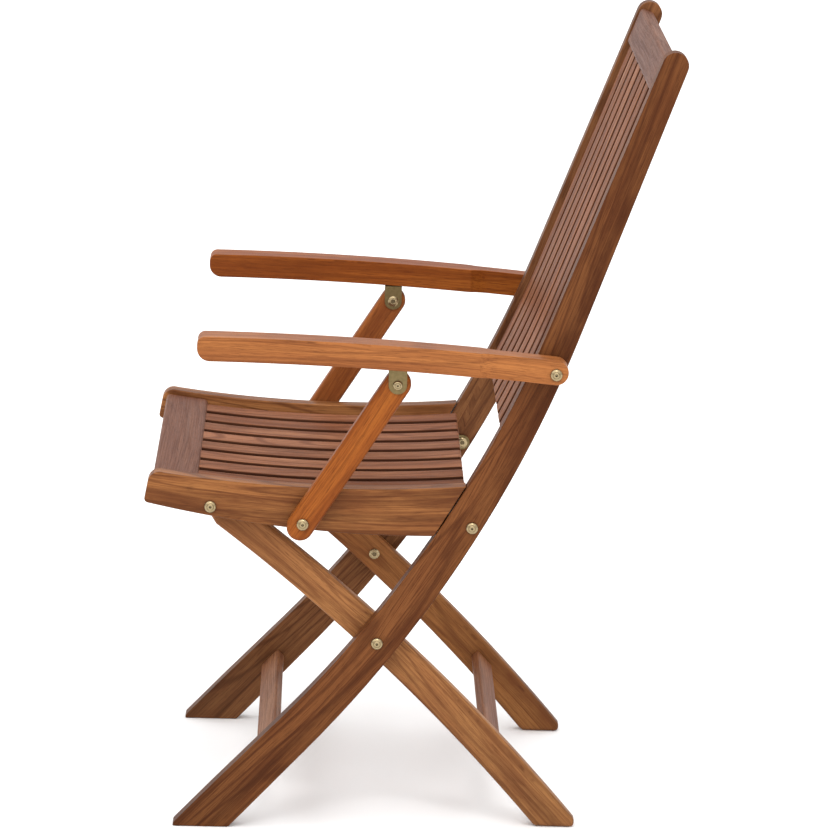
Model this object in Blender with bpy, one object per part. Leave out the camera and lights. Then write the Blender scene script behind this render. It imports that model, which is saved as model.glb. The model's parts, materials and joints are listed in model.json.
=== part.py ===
"""Folding garden armchair in oiled hardwood with brass-plated pivots.

Axes: +Z up, the sitter faces -Y, +X is the sitter's left. The origin is on the floor under the
middle of the chair's footprint. Each moving group hangs from an empty on its own joint axis.
"""
import bpy
import bmesh
import numpy as np
from math import atan2, cos, pi, radians, sin, tan
from mathutils import Matrix, Vector

# Driving dimensions, in metres.
HEIGHT = 0.942                    # top of the back rails above the floor
FRAME_HALF = 0.250                # centre plane to the outer face of a back rail or seat rail
RAIL_THICK = 0.024                # back rails and seat rails, measured along X
LAYER_GAP = 0.004                 # room for washers and the stay link between rail and leg
LEG_THICK = 0.022
SUPPORT_THICK = 0.020
SUPPORT_GAP = 0.0045              # seat rail's outer face to the arm support
ARM_OUTER = 0.292                 # centre plane to the outer face of an arm
FIT = 0.0003                      # clearance between pieces that touch on the real chair
EDGE = 0.005                      # rounding of the wooden edges

# Pivots in the side view, as (y, z).
CROSS = (-0.032, 0.230)           # back rail to leg, where the legs cross
TOE = (-0.232, 0.392)             # seat rail to leg
STAY = (0.0765, 0.373)            # back rail to stay link
KNEE = (-0.123, 0.3785)           # seat rail to stay link and arm support
BRACKET = (-0.0158, 0.548)        # arm bracket to arm support
ELBOW = (0.168, 0.567)            # back rail to arm

# Back rail: straight foot, one long bend, straight top.
RAIL_START_Y = -0.2388            # where the rail's centre line meets the floor
RAIL_FOOT_ANGLE = radians(46.6)
RAIL_STRAIGHT = 0.160             # length of the straight foot
RAIL_BEND = 0.584                 # length of the bend
RAIL_TURN = radians(23.0)
RAIL_WIDTH_FOOT = 0.0515
RAIL_WIDTH_TOP = 0.0310
RAIL_TAPER_LENGTH = 1.08
RAIL_LONGEST = 1.2                # beyond the rail's top, where a search along it starts
RAIL_FRONT_FROM = 0.055           # lengths where the long edges end above the foot
RAIL_REAR_FROM = 0.050
HEEL_RADIUS = 0.005
TOE_RADIUS = 0.006
RAIL_TOE_BACK = 0.0312            # centre line to the front end of the foot
FRONT_STRETCHER_AT = 0.1125       # length along the rail
FRONT_STRETCHER_BEHIND = 0.0036   # behind the rail's centre line
FRONT_STRETCHER_WIDTH = 0.031
STRETCHER_THICK = 0.0125

# Leg: one shallow bend from the seat to the rear foot.
LEG_ANGLE = radians(-36.0)
LEG_TURN = radians(-14.2)
LEG_BEND = 0.600
LEG_WIDTH_TOP = 0.0375
LEG_WIDTH_FOOT = 0.0425
LEG_TIP_RADIUS = 0.0100           # small enough to swing under the seat slats
LEG_TOE_Y = 0.2105                # rear end of the foot
LEG_HIGH_SPAN = (0.045, 0.572)    # lengths where the upper edge starts and ends
LEG_LOW_SPAN = (0.022, 0.545)     # the same for the lower edge
REAR_STRETCHER_AT = 0.455         # length along the leg
REAR_STRETCHER_WIDTH = 0.028

# Seat: a dished top, with the slats a little below the rails.
SEAT_LOW_Y = -0.070               # lowest point of the dish
SEAT_LOW_Z = 0.4168
SEAT_RADIUS = 1.62
SEAT_BELLY_Y = 0.001              # lowest point of the seat rails' underside
SEAT_BELLY_Z = 0.3615
SEAT_BELLY_RADIUS = 1.42
SEAT_FRONT_Y = -0.3115
SEAT_NOSE_LEAN = 0.007            # the front end's top behind its foot
SEAT_CHIN_RADIUS = 0.005
SEAT_BROW_RADIUS = 0.014
SEAT_TAIL_CLEAR = 0.0012          # seat rails' rear ends to the back rails' front edges
SEAT_TAIL_Y = 0.030               # about where the underside meets the back rail
SEAT_REAR_Y = 0.068
SLAT_DROP = 0.0085                # seat slats below the rail tops
BOARD_DROP = 0.0055               # front board below the rail tops
BOARD_REAR_Y = -0.2480
BOARD_INSET = 0.010               # front board behind the rails' front ends
BOARD_THICK = 0.012
SLAT_THICK = 0.011
SLAT_WIDTH = 0.042
SLAT_PITCH = 0.054
SLAT_COUNT = 8
BATTEN_THICK = 0.012
BATTEN_END = 0.188                # inside the legs
REAR_BATTEN = (0.016, 0.048)      # from and to, along Y
FRONT_BATTEN = (-0.247, -0.217)

# Backrest.
BACK_SLAT_DEPTH = 0.006           # slats behind the front edges of the rails
BACK_SLAT_THICK = 0.011
BACK_SLAT_LOW_Z = 0.483
BACK_BOARD_LOW_Z = 0.892
BACK_BOARD_WIDTH = 0.0465
BACK_BOARD_THICK = 0.018
BACK_BOARD_DEPTH = 0.002
LOWER_RAIL = (0.010, 0.048)       # from and to, above the slats' lower ends
LOWER_RAIL_THICK = 0.014

# Arms and supports.
ARM_FRONT_Y = -0.2500
ARM_LOW_Z = 0.5742                # underside at the front
ARM_RADIUS = 4.45                 # the underside's long curve
ARM_HEIGHT = 0.0290
ARM_WAIST_INNER = 0.2590          # inner face where the arm is narrowed at the rear
ARM_WAIST_Y = 0.060
ARM_WAIST_RADIUS = 0.045
ARM_REAR_OUTER = 0.2880           # outer face where the arm is narrowed at the rear
ARM_SCOOP_Y = 0.100               # where the outer narrowing is complete
ARM_SCOOP_RADIUS = 0.060
ARM_CLEAR = 0.0025                # back rail's outer face to the arm's inner face
ARM_EDGE = 0.0045
ARM_BROW_RADIUS = 0.009
ARM_CHIN_RADIUS = 0.015
SUPPORT_HALF_WIDTH = 0.0158
SUPPORT_TAIL = 0.0055             # the lower end's extra length beyond its pivot

# Metal.
SHANK_RADIUS = 0.0038
CAP_RADIUS = 0.0072
CAP_HEIGHT = 0.0042
RIVET_RADIUS = 0.0057
WASHER_RADIUS = 0.0095
LINK_THICK = 0.003
LINK_HALF_WIDTH = 0.0092
STRAP_THICK = 0.0018
STRAP_HALF_WIDTH = 0.0108
NUT_HEIGHT = 0.0032
RIVET_TAIL_HEIGHT = 0.0016
KNEE_HEAD_HEIGHT = 0.0030
KNEE_HEAD_RADIUS = 0.0072
SEAT_WASHER_THICK = 0.0019

RAIL_OUT = FRAME_HALF
RAIL_IN = FRAME_HALF - RAIL_THICK
LEG_OUT = RAIL_IN - LAYER_GAP
LEG_IN = LEG_OUT - LEG_THICK
SUPPORT_IN = RAIL_OUT + SUPPORT_GAP
SUPPORT_OUT = SUPPORT_IN + SUPPORT_THICK
ARM_IN = RAIL_OUT + ARM_CLEAR
LINK_IN = RAIL_IN - LINK_THICK - FIT
STRAP_IN = SUPPORT_IN - FIT - STRAP_THICK
STRAP_OUT = SUPPORT_OUT + FIT + STRAP_THICK
SIDES = (("left", 1), ("right", -1))
ROUND = 16                        # flats on a bolt head, a shank or a bore
SEARCH_STEPS = 40                 # halvings in the search for a height on the rail


def material(name, color, roughness, metallic=0.0):
    made = bpy.data.materials.new(name)
    made.use_nodes = True
    shader = made.node_tree.nodes["Principled BSDF"]
    shader.inputs["Base Color"].default_value = (*color, 1.0)
    shader.inputs["Roughness"].default_value = roughness
    shader.inputs["Metallic"].default_value = metallic
    made.diffuse_color = (*color, 1.0)
    return made


def joint_empty(name, pivot, parent=None):
    """An empty on a joint's axis, which carries the pieces that turn about it."""
    empty = bpy.data.objects.new(name, None)
    bpy.context.collection.objects.link(empty)
    empty.empty_display_size = 0.03
    empty["pivot"] = (0.0, pivot[0], pivot[1])
    attach(empty, parent)
    empty.location = (0.0, pivot[0], pivot[1])
    return empty


def attach(piece, parent):
    if parent is not None:
        piece.parent = parent
        piece.matrix_parent_inverse = Matrix.Translation(-Vector(parent["pivot"]))


def add(name, mesh_bm, paint, parent=None, smooth=False):
    """Link a bmesh as an object whose origin is its group's joint axis."""
    pivot = Vector(parent["pivot"]) if parent is not None else Vector((0.0, 0.0, 0.0))
    bmesh.ops.translate(mesh_bm, verts=mesh_bm.verts, vec=-pivot)
    bmesh.ops.recalc_face_normals(mesh_bm, faces=mesh_bm.faces)
    mesh = bpy.data.meshes.new(name)
    mesh_bm.to_mesh(mesh)
    mesh_bm.free()
    if smooth:
        mesh.shade_smooth()
        mesh.set_sharp_from_angle(angle=radians(40))
    piece = bpy.data.objects.new(name, mesh)
    bpy.context.collection.objects.link(piece)
    attach(piece, parent)
    piece.location = pivot
    mesh.materials.append(paint)
    return piece


def prism(outline, x_low, x_high):
    """A board with a side-view outline of (y, z) points, between two X planes."""
    bm = bmesh.new()
    low = [bm.verts.new((x_low, y, z)) for y, z in outline]
    high = [bm.verts.new((x_high, y, z)) for y, z in outline]
    bm.faces.new(low)
    bm.faces.new(high)
    count = len(outline)
    for i in range(count):
        j = (i + 1) % count
        bm.faces.new((low[i], low[j], high[j], high[i]))
    return bm


def round_edges(piece, radius, segments=2):
    bevel = piece.modifiers.new("edges", "BEVEL")
    bevel.width = radius
    bevel.segments = segments
    bevel.limit_method = "ANGLE"
    bevel.angle_limit = radians(38)
    bevel.use_clamp_overlap = True


def cut(piece, cutter):
    cutter.hide_render = True
    cutter.display_type = "WIRE"
    boolean = piece.modifiers.new("cut", "BOOLEAN")
    boolean.operation = "DIFFERENCE"
    boolean.object = cutter


def bore(piece, pivot, parent=None):
    """Drill through a piece along X, with running clearance round the shank."""
    reach = ARM_OUTER + 0.1
    radius = SHANK_RADIUS + FIT
    at = lathe(pivot, [(-reach, 0.0), (-reach, radius), (reach, radius), (reach, 0.0)])
    cut(piece, add(piece.name + "_drill", at, GUIDE, parent))


def lathe(pivot, profile, side=1, closed=False):
    """Turn a profile of (x, radius) points about the X axis through a pivot."""
    bm = bmesh.new()
    rings = []
    for x, radius in profile:
        if radius == 0.0:
            rings.append([bm.verts.new((side * x, pivot[0], pivot[1]))])
            continue
        turns = [2 * pi * k / ROUND for k in range(ROUND)]
        rings.append([bm.verts.new((side * x, pivot[0] + radius * cos(turn),
                                    pivot[1] + radius * sin(turn))) for turn in turns])
    pairs = list(zip(rings, rings[1:]))
    if closed:
        pairs.append((rings[-1], rings[0]))
    for a, b in pairs:
        for k in range(ROUND):
            n = (k + 1) % ROUND
            corners = [a[k % len(a)], a[n % len(a)], b[n % len(b)], b[k % len(b)]]
            bm.faces.new(list(dict.fromkeys(corners)))
    return bm


def arc(centre, radius, start, end, count):
    return [(centre[0] + radius * cos(start + (end - start) * k / count),
             centre[1] + radius * sin(start + (end - start) * k / count)) for k in range(count + 1)]


def fillet(before, corner, after, radius, count=4):
    """The rounded corner of an outline, as points on an arc."""
    into = Vector(before) - Vector(corner)
    out = Vector(after) - Vector(corner)
    into.normalize()
    out.normalize()
    half = into.angle(out) / 2
    centre = Vector(corner) + (into + out).normalized() * (radius / sin(half))
    first = Vector(corner) + into * (radius / tan(half)) - centre
    last = Vector(corner) + out * (radius / tan(half)) - centre
    start = atan2(first.y, first.x)
    sweep = (atan2(last.y, last.x) - start + pi) % (2 * pi) - pi
    return arc(centre, radius, start, start + sweep, count)


def rail_centre(s):
    """Point and heading on the back rail's centre line, at length s from the floor."""
    radius = RAIL_BEND / RAIL_TURN
    y = RAIL_START_Y + cos(RAIL_FOOT_ANGLE) * min(s, RAIL_STRAIGHT)
    z = sin(RAIL_FOOT_ANGLE) * min(s, RAIL_STRAIGHT)
    angle = RAIL_FOOT_ANGLE
    if s > RAIL_STRAIGHT:
        turned = min(s - RAIL_STRAIGHT, RAIL_BEND) / radius
        y += radius * (sin(angle + turned) - sin(angle))
        z += radius * (cos(angle) - cos(angle + turned))
        angle += turned
    beyond = max(0.0, s - RAIL_STRAIGHT - RAIL_BEND)
    return y + cos(angle) * beyond, z + sin(angle) * beyond, angle


def rail_half(s):
    return (RAIL_WIDTH_FOOT + (RAIL_WIDTH_TOP - RAIL_WIDTH_FOOT) * s / RAIL_TAPER_LENGTH) / 2


def rail_edge(s, depth):
    """A point at a depth behind the back rail's front edge."""
    y, z, angle = rail_centre(s)
    offset = rail_half(s) - depth
    return y - sin(angle) * offset, z + cos(angle) * offset


def rail_length_at(height, depth=0.0):
    """The length along the rail where a point at this depth reaches a height."""
    low, high = 0.0, RAIL_LONGEST
    for _ in range(SEARCH_STEPS):
        middle = (low + high) / 2
        if rail_edge(middle, depth)[1] < height:
            low = middle
        else:
            high = middle
    return low


def leg_centre(s):
    radius = LEG_BEND / LEG_TURN
    angle = LEG_ANGLE + s / radius
    y = TOE[0] + radius * (sin(angle) - sin(LEG_ANGLE))
    z = TOE[1] + radius * (cos(LEG_ANGLE) - cos(angle))
    return y, z, angle


def leg_edge(s, side):
    y, z, angle = leg_centre(s)
    half = side * (LEG_WIDTH_TOP + (LEG_WIDTH_FOOT - LEG_WIDTH_TOP) * s / LEG_BEND) / 2
    return y - sin(angle) * half, z + cos(angle) * half


def seat_top(y, drop=0.0):
    return SEAT_LOW_Z + (y - SEAT_LOW_Y) ** 2 / (2 * SEAT_RADIUS) - drop


def seat_belly(y):
    return SEAT_BELLY_Z + (y - SEAT_BELLY_Y) ** 2 / (2 * SEAT_BELLY_RADIUS)


def arm_low(y):
    return ARM_LOW_Z - (y - ARM_FRONT_Y) ** 2 / (2 * ARM_RADIUS)


def back_rail_outline():
    top = rail_length_at(HEIGHT - RAIL_WIDTH_TOP / 2, RAIL_WIDTH_TOP / 2)
    y, z, angle = rail_centre(top)
    radius = rail_half(top)
    front = [rail_edge(s, 0.0) for s in np.linspace(RAIL_FRONT_FROM, top, 12)]
    rear = [rail_edge(s, 2 * rail_half(s)) for s in np.linspace(top, RAIL_REAR_FROM, 12)]
    crown = arc((y, z), radius, angle + pi / 2, angle - pi / 2, 8)[1:-1]
    toe_y = RAIL_START_Y - RAIL_TOE_BACK
    heel_y = rear[-1][0] - rear[-1][1] / tan(RAIL_FOOT_ANGLE)
    heel = fillet(rear[-1], (heel_y, 0.0), (toe_y, 0.0), HEEL_RADIUS, 3)
    toe_top = front[0][1] - (front[0][0] - toe_y) * tan(RAIL_FOOT_ANGLE)
    toe = fillet((toe_y, 0.0), (toe_y, toe_top), front[0], TOE_RADIUS, 3)
    return front + crown + rear + heel + [(toe_y, 0.0)] + toe


def leg_outline():
    high = [leg_edge(s, 1) for s in np.linspace(*LEG_HIGH_SPAN, 10)]
    low = [leg_edge(s, -1) for s in np.linspace(*LEG_LOW_SPAN, 10)[::-1]]
    toe_top = high[-1][1] + (LEG_TOE_Y - high[-1][0]) * tan(leg_centre(LEG_HIGH_SPAN[1])[2])
    heel_y = low[0][0] - low[0][1] / tan(leg_centre(LEG_LOW_SPAN[1])[2])
    toe = fillet(high[-1], (LEG_TOE_Y, toe_top), (LEG_TOE_Y, 0.0), TOE_RADIUS, 3)
    tip = arc(TOE, LEG_TIP_RADIUS, LEG_ANGLE - pi / 2, LEG_ANGLE - 3 * pi / 2, 8)
    return high + toe + [(LEG_TOE_Y, 0.0), (heel_y, 0.0)] + low + tip


def seat_rail_outline():
    rear_low = rail_edge(rail_length_at(seat_belly(SEAT_TAIL_Y)), -SEAT_TAIL_CLEAR)
    rear_high = rail_edge(rail_length_at(seat_top(SEAT_REAR_Y)), -SEAT_TAIL_CLEAR)
    top = [(y, seat_top(y)) for y in np.linspace(SEAT_FRONT_Y + 0.024, rear_high[0] - 0.004, 8)]
    belly = [(y, seat_belly(y)) for y in np.linspace(rear_low[0] - 0.002, SEAT_FRONT_Y + 0.014, 8)]
    nose_low = (SEAT_FRONT_Y, seat_belly(SEAT_FRONT_Y))
    nose_high = (SEAT_FRONT_Y + SEAT_NOSE_LEAN, seat_top(SEAT_FRONT_Y))
    chin = fillet(belly[-1], nose_low, nose_high, SEAT_CHIN_RADIUS, 3)
    brow = fillet(nose_low, nose_high, top[0], SEAT_BROW_RADIUS, 5)
    return top + [rear_high, rear_low] + belly + chin + brow


def seat_strip(y_front, y_rear, drop, thick, count):
    """Outline of a piece that follows the dish of the seat."""
    ys = np.linspace(y_front, y_rear, count)
    upper = [(y, seat_top(y, drop)) for y in ys]
    return upper + [(y, seat_top(y, drop + thick)) for y in ys[::-1]]


def back_strip(s_low, s_high, depth, thick, count):
    """Outline of a piece that follows the bend of the back rails between two lengths."""
    lengths = np.linspace(s_low, s_high, count)
    front = [rail_edge(s, depth) for s in lengths]
    return front + [rail_edge(s, depth + thick) for s in lengths[::-1]]


def bar_between(start, end, radius, count=8):
    """Outline of a flat bar with a round end about each of two pivots."""
    heading = atan2(end[1] - start[1], end[0] - start[0])
    return (arc(end, radius, heading - pi / 2, heading + pi / 2, count)
            + arc(start, radius, heading + pi / 2, heading + 3 * pi / 2, count))


def crossbar_outline(centre, heading, width, thick):
    along = Vector((cos(heading), sin(heading))) * width / 2
    across = Vector((-sin(heading), cos(heading))) * thick / 2
    middle = Vector(centre)
    return [tuple(middle + p * along + q * across) for p, q in ((-1, -1), (1, -1), (1, 1), (-1, 1))]


def slat_centres():
    return [(k - (SLAT_COUNT - 1) / 2) * SLAT_PITCH for k in range(SLAT_COUNT)]


def bolt(name, pivot, side, parent, tip_x, head_x, nut=0.0, head_radius=CAP_RADIUS):
    """A domed cap at head_x with its shank down to tip_x, and a nut there of the height given."""
    out = 1 if head_x > tip_x else -1
    dome = [(head_x + out * CAP_HEIGHT * height, head_radius * width)
            for height, width in ((0.0, 1.0), (0.45, 1.0), (0.85, 0.75), (1.0, 0.0))]
    profile = [(tip_x, SHANK_RADIUS), (head_x, SHANK_RADIUS)] + dome
    if nut:
        nut_x = tip_x - out * nut
        profile = [(nut_x, 0.0), (nut_x, head_radius * 0.80), (tip_x, head_radius * 0.92)] + profile
    else:
        profile = [(tip_x, 0.0)] + profile
    return add(name, lathe(pivot, profile, side), BRASS, parent, smooth=True)


def washer(name, pivot, side, parent, x_low, x_high):
    inner = SHANK_RADIUS + FIT
    profile = [(x_low, inner), (x_high, inner), (x_high, WASHER_RADIUS), (x_low, WASHER_RADIUS)]
    return add(name, lathe(pivot, profile, side, closed=True), BRASS, parent, smooth=True)


def build_back():
    for label, side in SIDES:
        plank = prism(back_rail_outline(), side * RAIL_IN, side * RAIL_OUT)
        rail = add("back_rail_" + label, plank, BACK_WOOD)
        round_edges(rail, EDGE)
        for pivot in (CROSS, STAY, ELBOW):
            bore(rail, pivot)
        bolt("cross_bolt_" + label, CROSS, side, None, LEG_IN - FIT, RAIL_OUT + FIT, nut=NUT_HEIGHT)
        washer("cross_washer_" + label, CROSS, side, None, LEG_OUT + FIT, RAIL_IN - FIT)
        bolt("stay_bolt_" + label, STAY, side, None, LINK_IN - FIT, RAIL_OUT + FIT, nut=NUT_HEIGHT)
        bolt("arm_bolt_" + label, ELBOW, side, None, RAIL_IN - FIT, ARM_REAR_OUTER + FIT, nut=NUT_HEIGHT)
        washer("arm_spacer_" + label, ELBOW, side, None, RAIL_OUT + FIT, ARM_WAIST_INNER - FIT)

    inner = RAIL_IN - FIT
    board_low = rail_length_at(BACK_BOARD_LOW_Z)
    slat_low = rail_length_at(BACK_SLAT_LOW_Z)
    board_high = board_low + BACK_BOARD_WIDTH
    board = back_strip(board_low, board_high, BACK_BOARD_DEPTH, BACK_BOARD_THICK, 3)
    round_edges(add("back_top_board", prism(board, -inner, inner), BOARD_WOOD), 0.004)
    slat = back_strip(slat_low, board_low - FIT, BACK_SLAT_DEPTH, BACK_SLAT_THICK, 5)
    for k, x in enumerate(slat_centres()):
        piece = prism(slat, x - SLAT_WIDTH / 2, x + SLAT_WIDTH / 2)
        round_edges(add("back_slat_%d" % (k + 1), piece, SLAT_WOOD), 0.002, 1)
    behind = BACK_SLAT_DEPTH + BACK_SLAT_THICK + FIT
    low, high = (slat_low + at for at in LOWER_RAIL)
    cross = back_strip(low, high, behind, LOWER_RAIL_THICK, 3)
    round_edges(add("back_lower_rail", prism(cross, -inner, inner), BACK_WOOD), 0.002, 1)

    heading = rail_centre(FRONT_STRETCHER_AT)[2]
    middle = rail_edge(FRONT_STRETCHER_AT, rail_half(FRONT_STRETCHER_AT) + FRONT_STRETCHER_BEHIND)
    bar = crossbar_outline(middle, heading, FRONT_STRETCHER_WIDTH, STRETCHER_THICK)
    round_edges(add("front_stretcher", prism(bar, -inner, inner), STRETCHER_WOOD), 0.003)


def build_legs(axis):
    for label, side in SIDES:
        plank = prism(leg_outline(), side * LEG_IN, side * LEG_OUT)
        leg = add("leg_" + label, plank, LEG_WOOD, axis)
        round_edges(leg, EDGE)
        bore(leg, CROSS, axis)
        bore(leg, TOE, axis)
        bolt("leg_pin_" + label, TOE, side, axis, LEG_OUT, LEG_IN - FIT)
    y, z, heading = leg_centre(REAR_STRETCHER_AT)
    inner = LEG_IN - FIT
    bar = crossbar_outline((y, z), heading, REAR_STRETCHER_WIDTH, STRETCHER_THICK)
    round_edges(add("rear_stretcher", prism(bar, -inner, inner), STRETCHER_WOOD, axis), 0.003)


def build_seat(axis):
    for label, side in SIDES:
        plank = prism(seat_rail_outline(), side * RAIL_IN, side * RAIL_OUT)
        rail = add("seat_rail_" + label, plank, SEAT_WOOD, axis)
        round_edges(rail, EDGE)
        bore(rail, TOE, axis)
        bore(rail, KNEE, axis)
        washer_in = RAIL_IN - FIT - SEAT_WASHER_THICK
        bolt("seat_bolt_" + label, TOE, side, axis, washer_in, RAIL_OUT + FIT)
        washer("seat_washer_" + label, TOE, side, axis, washer_in, RAIL_IN - FIT)
        head = LINK_IN - FIT
        knee = [
            (head - KNEE_HEAD_HEIGHT, 0.0), (head - KNEE_HEAD_HEIGHT, KNEE_HEAD_RADIUS - 0.001),
            (head, KNEE_HEAD_RADIUS), (head, SHANK_RADIUS), (RAIL_OUT + FIT, SHANK_RADIUS),
            (RAIL_OUT + FIT, WASHER_RADIUS), (SUPPORT_IN - FIT, WASHER_RADIUS), (SUPPORT_IN - FIT, 0.0)]
        add("knee_pin_" + label, lathe(KNEE, knee, side), BRASS, axis, smooth=True)

    inner = RAIL_IN - FIT
    board = seat_strip(SEAT_FRONT_Y + BOARD_INSET, BOARD_REAR_Y, BOARD_DROP, BOARD_THICK, 5)
    round_edges(add("seat_front_board", prism(board, -inner, inner), BOARD_WOOD, axis), EDGE, 3)
    slat = seat_strip(BOARD_REAR_Y + FIT, SEAT_REAR_Y, SLAT_DROP, SLAT_THICK, 5)
    for k, x in enumerate(slat_centres()):
        piece = prism(slat, x - SLAT_WIDTH / 2, x + SLAT_WIDTH / 2)
        round_edges(add("seat_slat_%d" % (k + 1), piece, SLAT_WOOD, axis), 0.002, 1)
    under = SLAT_DROP + SLAT_THICK + FIT
    battens = (("front", FRONT_BATTEN, BATTEN_END), ("rear", REAR_BATTEN, inner))
    for label, (start, stop), half in battens:
        strip = seat_strip(start, stop, under, BATTEN_THICK, 3)
        piece = add("seat_batten_" + label, prism(strip, -half, half), BOARD_WOOD, axis)
        round_edges(piece, 0.002, 1)


def build_link(label, side, axis):
    flat = prism(bar_between(STAY, KNEE, LINK_HALF_WIDTH), side * LINK_IN, side * (RAIL_IN - FIT))
    link = add("stay_link_" + label, flat, BRASS, axis)
    bore(link, STAY, axis)
    bore(link, KNEE, axis)


def arm_outline():
    rear_y = ELBOW[0]
    ys = np.linspace(ARM_FRONT_Y + 0.022, rear_y, 6)
    under = [(y, arm_low(y)) for y in ys]
    over = [(y, arm_low(y) + ARM_HEIGHT) for y in ys[::-1]]
    low = (ARM_FRONT_Y, ARM_LOW_Z)
    high = (ARM_FRONT_Y, ARM_LOW_Z + ARM_HEIGHT)
    end_z = arm_low(rear_y) + ARM_HEIGHT / 2
    end = arc((rear_y, end_z), ARM_HEIGHT / 2, -pi / 2, pi / 2, 8)[1:-1]
    tip = fillet(over[-1], high, low, ARM_BROW_RADIUS, 4)
    tip += fillet(high, low, under[0], ARM_CHIN_RADIUS, 4)
    return under + end + over + tip


def standing_block(plan, side):
    """A tall block round the height of the arms, with a plan of (x, y) points."""
    bm = prism(plan, 0.0, 0.2)
    for vert in bm.verts:
        vert.co = (side * vert.co.y, vert.co.z, ELBOW[1] - 0.1 + vert.co.x)
    return bm


def waist_cutter(side):
    """What the narrowed rear of an arm loses, as a tall block with a plan in X and Y."""
    arc_x = ARM_WAIST_INNER - ARM_WAIST_RADIUS
    arc_y = ARM_WAIST_Y + ARM_WAIST_RADIUS
    behind = ELBOW[0] + 0.1
    plan = arc((arc_x, arc_y), ARM_WAIST_RADIUS, 0.0, -pi / 2, 6)
    plan += [(arc_x, behind), (ARM_WAIST_INNER, behind)]
    return standing_block(plan, side)


def scoop_cutter(side):
    """What the outer face of an arm loses at the rear, as a tall block with a plan in X and Y."""
    arc_x = ARM_REAR_OUTER + ARM_SCOOP_RADIUS
    behind = ELBOW[0] + 0.1
    plan = arc((arc_x, ARM_SCOOP_Y), ARM_SCOOP_RADIUS, -pi / 2, -pi, 16)
    plan += [(ARM_REAR_OUTER, behind), (arc_x, behind)]
    return standing_block(plan, side)


def bracket_top():
    """Height of the strap's top face, just under the arm."""
    return arm_low(BRACKET[0] + STRAP_HALF_WIDTH) - FIT


def bracket_mesh(side):
    """A solid block with the outline of the strap bracket, round at its foot."""
    left, right = BRACKET[0] - STRAP_HALF_WIDTH, BRACKET[0] + STRAP_HALF_WIDTH
    tab = arc(BRACKET, STRAP_HALF_WIDTH, 0.0, -pi, 8)
    tab += [(left, bracket_top()), (right, bracket_top())]
    return prism(tab, side * STRAP_IN, side * STRAP_OUT)


def open_bracket(piece, side, axis):
    """Hollow the block into a U, which leaves the two straps and the top."""
    top = bracket_top() - STRAP_THICK
    bottom = BRACKET[1] - 2 * STRAP_HALF_WIDTH
    left, right = BRACKET[0] - 2 * STRAP_HALF_WIDTH, BRACKET[0] + 2 * STRAP_HALF_WIDTH
    room = [(left, bottom), (right, bottom), (right, top), (left, top)]
    guide = prism(room, side * (SUPPORT_IN - FIT), side * (SUPPORT_OUT + FIT))
    cut(piece, add(piece.name + "_room", guide, GUIDE, axis))


def build_arm(label, side, axis):
    arm = add("arm_" + label, prism(arm_outline(), side * ARM_IN, side * ARM_OUTER), ARM_WOOD, axis)
    cut(arm, add("arm_waist_cutter_" + label, waist_cutter(side), GUIDE, axis))
    cut(arm, add("arm_scoop_cutter_" + label, scoop_cutter(side), GUIDE, axis))
    round_edges(arm, ARM_EDGE)
    bore(arm, ELBOW, axis)
    piece = add("arm_bracket_" + label, bracket_mesh(side), BRASS, axis)
    open_bracket(piece, side, axis)
    bore(piece, BRACKET, axis)
    bolt("bracket_rivet_" + label, BRACKET, side, axis, STRAP_IN - FIT, STRAP_OUT + FIT,
         nut=RIVET_TAIL_HEIGHT, head_radius=RIVET_RADIUS)


def build_support(label, side, axis):
    down = (Vector(KNEE) - Vector(BRACKET)).normalized()
    outline = bar_between(BRACKET, Vector(KNEE) + down * SUPPORT_TAIL, SUPPORT_HALF_WIDTH, 10)
    plank = prism(outline, side * SUPPORT_IN, side * SUPPORT_OUT)
    support = add("arm_support_" + label, plank, ARM_WOOD, axis)
    round_edges(support, ARM_EDGE)
    bore(support, BRACKET, axis)
    bore(support, KNEE, axis)
    bolt("support_bolt_" + label, KNEE, side, axis, SUPPORT_IN + FIT, SUPPORT_OUT + FIT)


for old in list(bpy.data.objects):
    bpy.data.objects.remove(old, do_unlink=True)

BACK_WOOD = material("back_wood", (0.26, 0.095, 0.042), 0.45)
ARM_WOOD = material("arm_wood", (0.46, 0.185, 0.060), 0.42)
LEG_WOOD = material("leg_wood", (0.42, 0.185, 0.075), 0.45)
SEAT_WOOD = material("seat_rail_wood", (0.34, 0.135, 0.055), 0.42)
SLAT_WOOD = material("slat_wood", (0.30, 0.130, 0.085), 0.40)
BOARD_WOOD = material("board_wood", (0.31, 0.150, 0.100), 0.38)
STRETCHER_WOOD = material("stretcher_wood", (0.30, 0.120, 0.070), 0.45)
BRASS = material("brass_plate", (0.72, 0.60, 0.36), 0.30, 1.0)
GUIDE = material("guide", (0.5, 0.5, 0.5), 0.5)

build_back()
build_legs(joint_empty("cross_axis", CROSS))
left_link = joint_empty("stay_axis_left", STAY)
build_link("left", 1, left_link)
build_link("right", -1, joint_empty("stay_axis_right", STAY))
build_seat(joint_empty("knee_axis", KNEE, left_link))
for label, side in SIDES:
    elbow = joint_empty("elbow_axis_" + label, ELBOW)
    build_arm(label, side, elbow)
    build_support(label, side, joint_empty("bracket_axis_" + label, BRACKET, elbow))
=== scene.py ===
"""Folding garden armchair: oiled hardwood boards, slats and plated pivots round a fixed frame."""
import json
import random
from math import atan2, cos, pi, radians, sin, tan

import bmesh
import bpy
import numpy as np
from bpy.props import FloatProperty, FloatVectorProperty, IntProperty, PointerProperty
from bpy.types import Operator, Panel, PropertyGroup
from mathutils import Matrix, Vector


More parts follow.
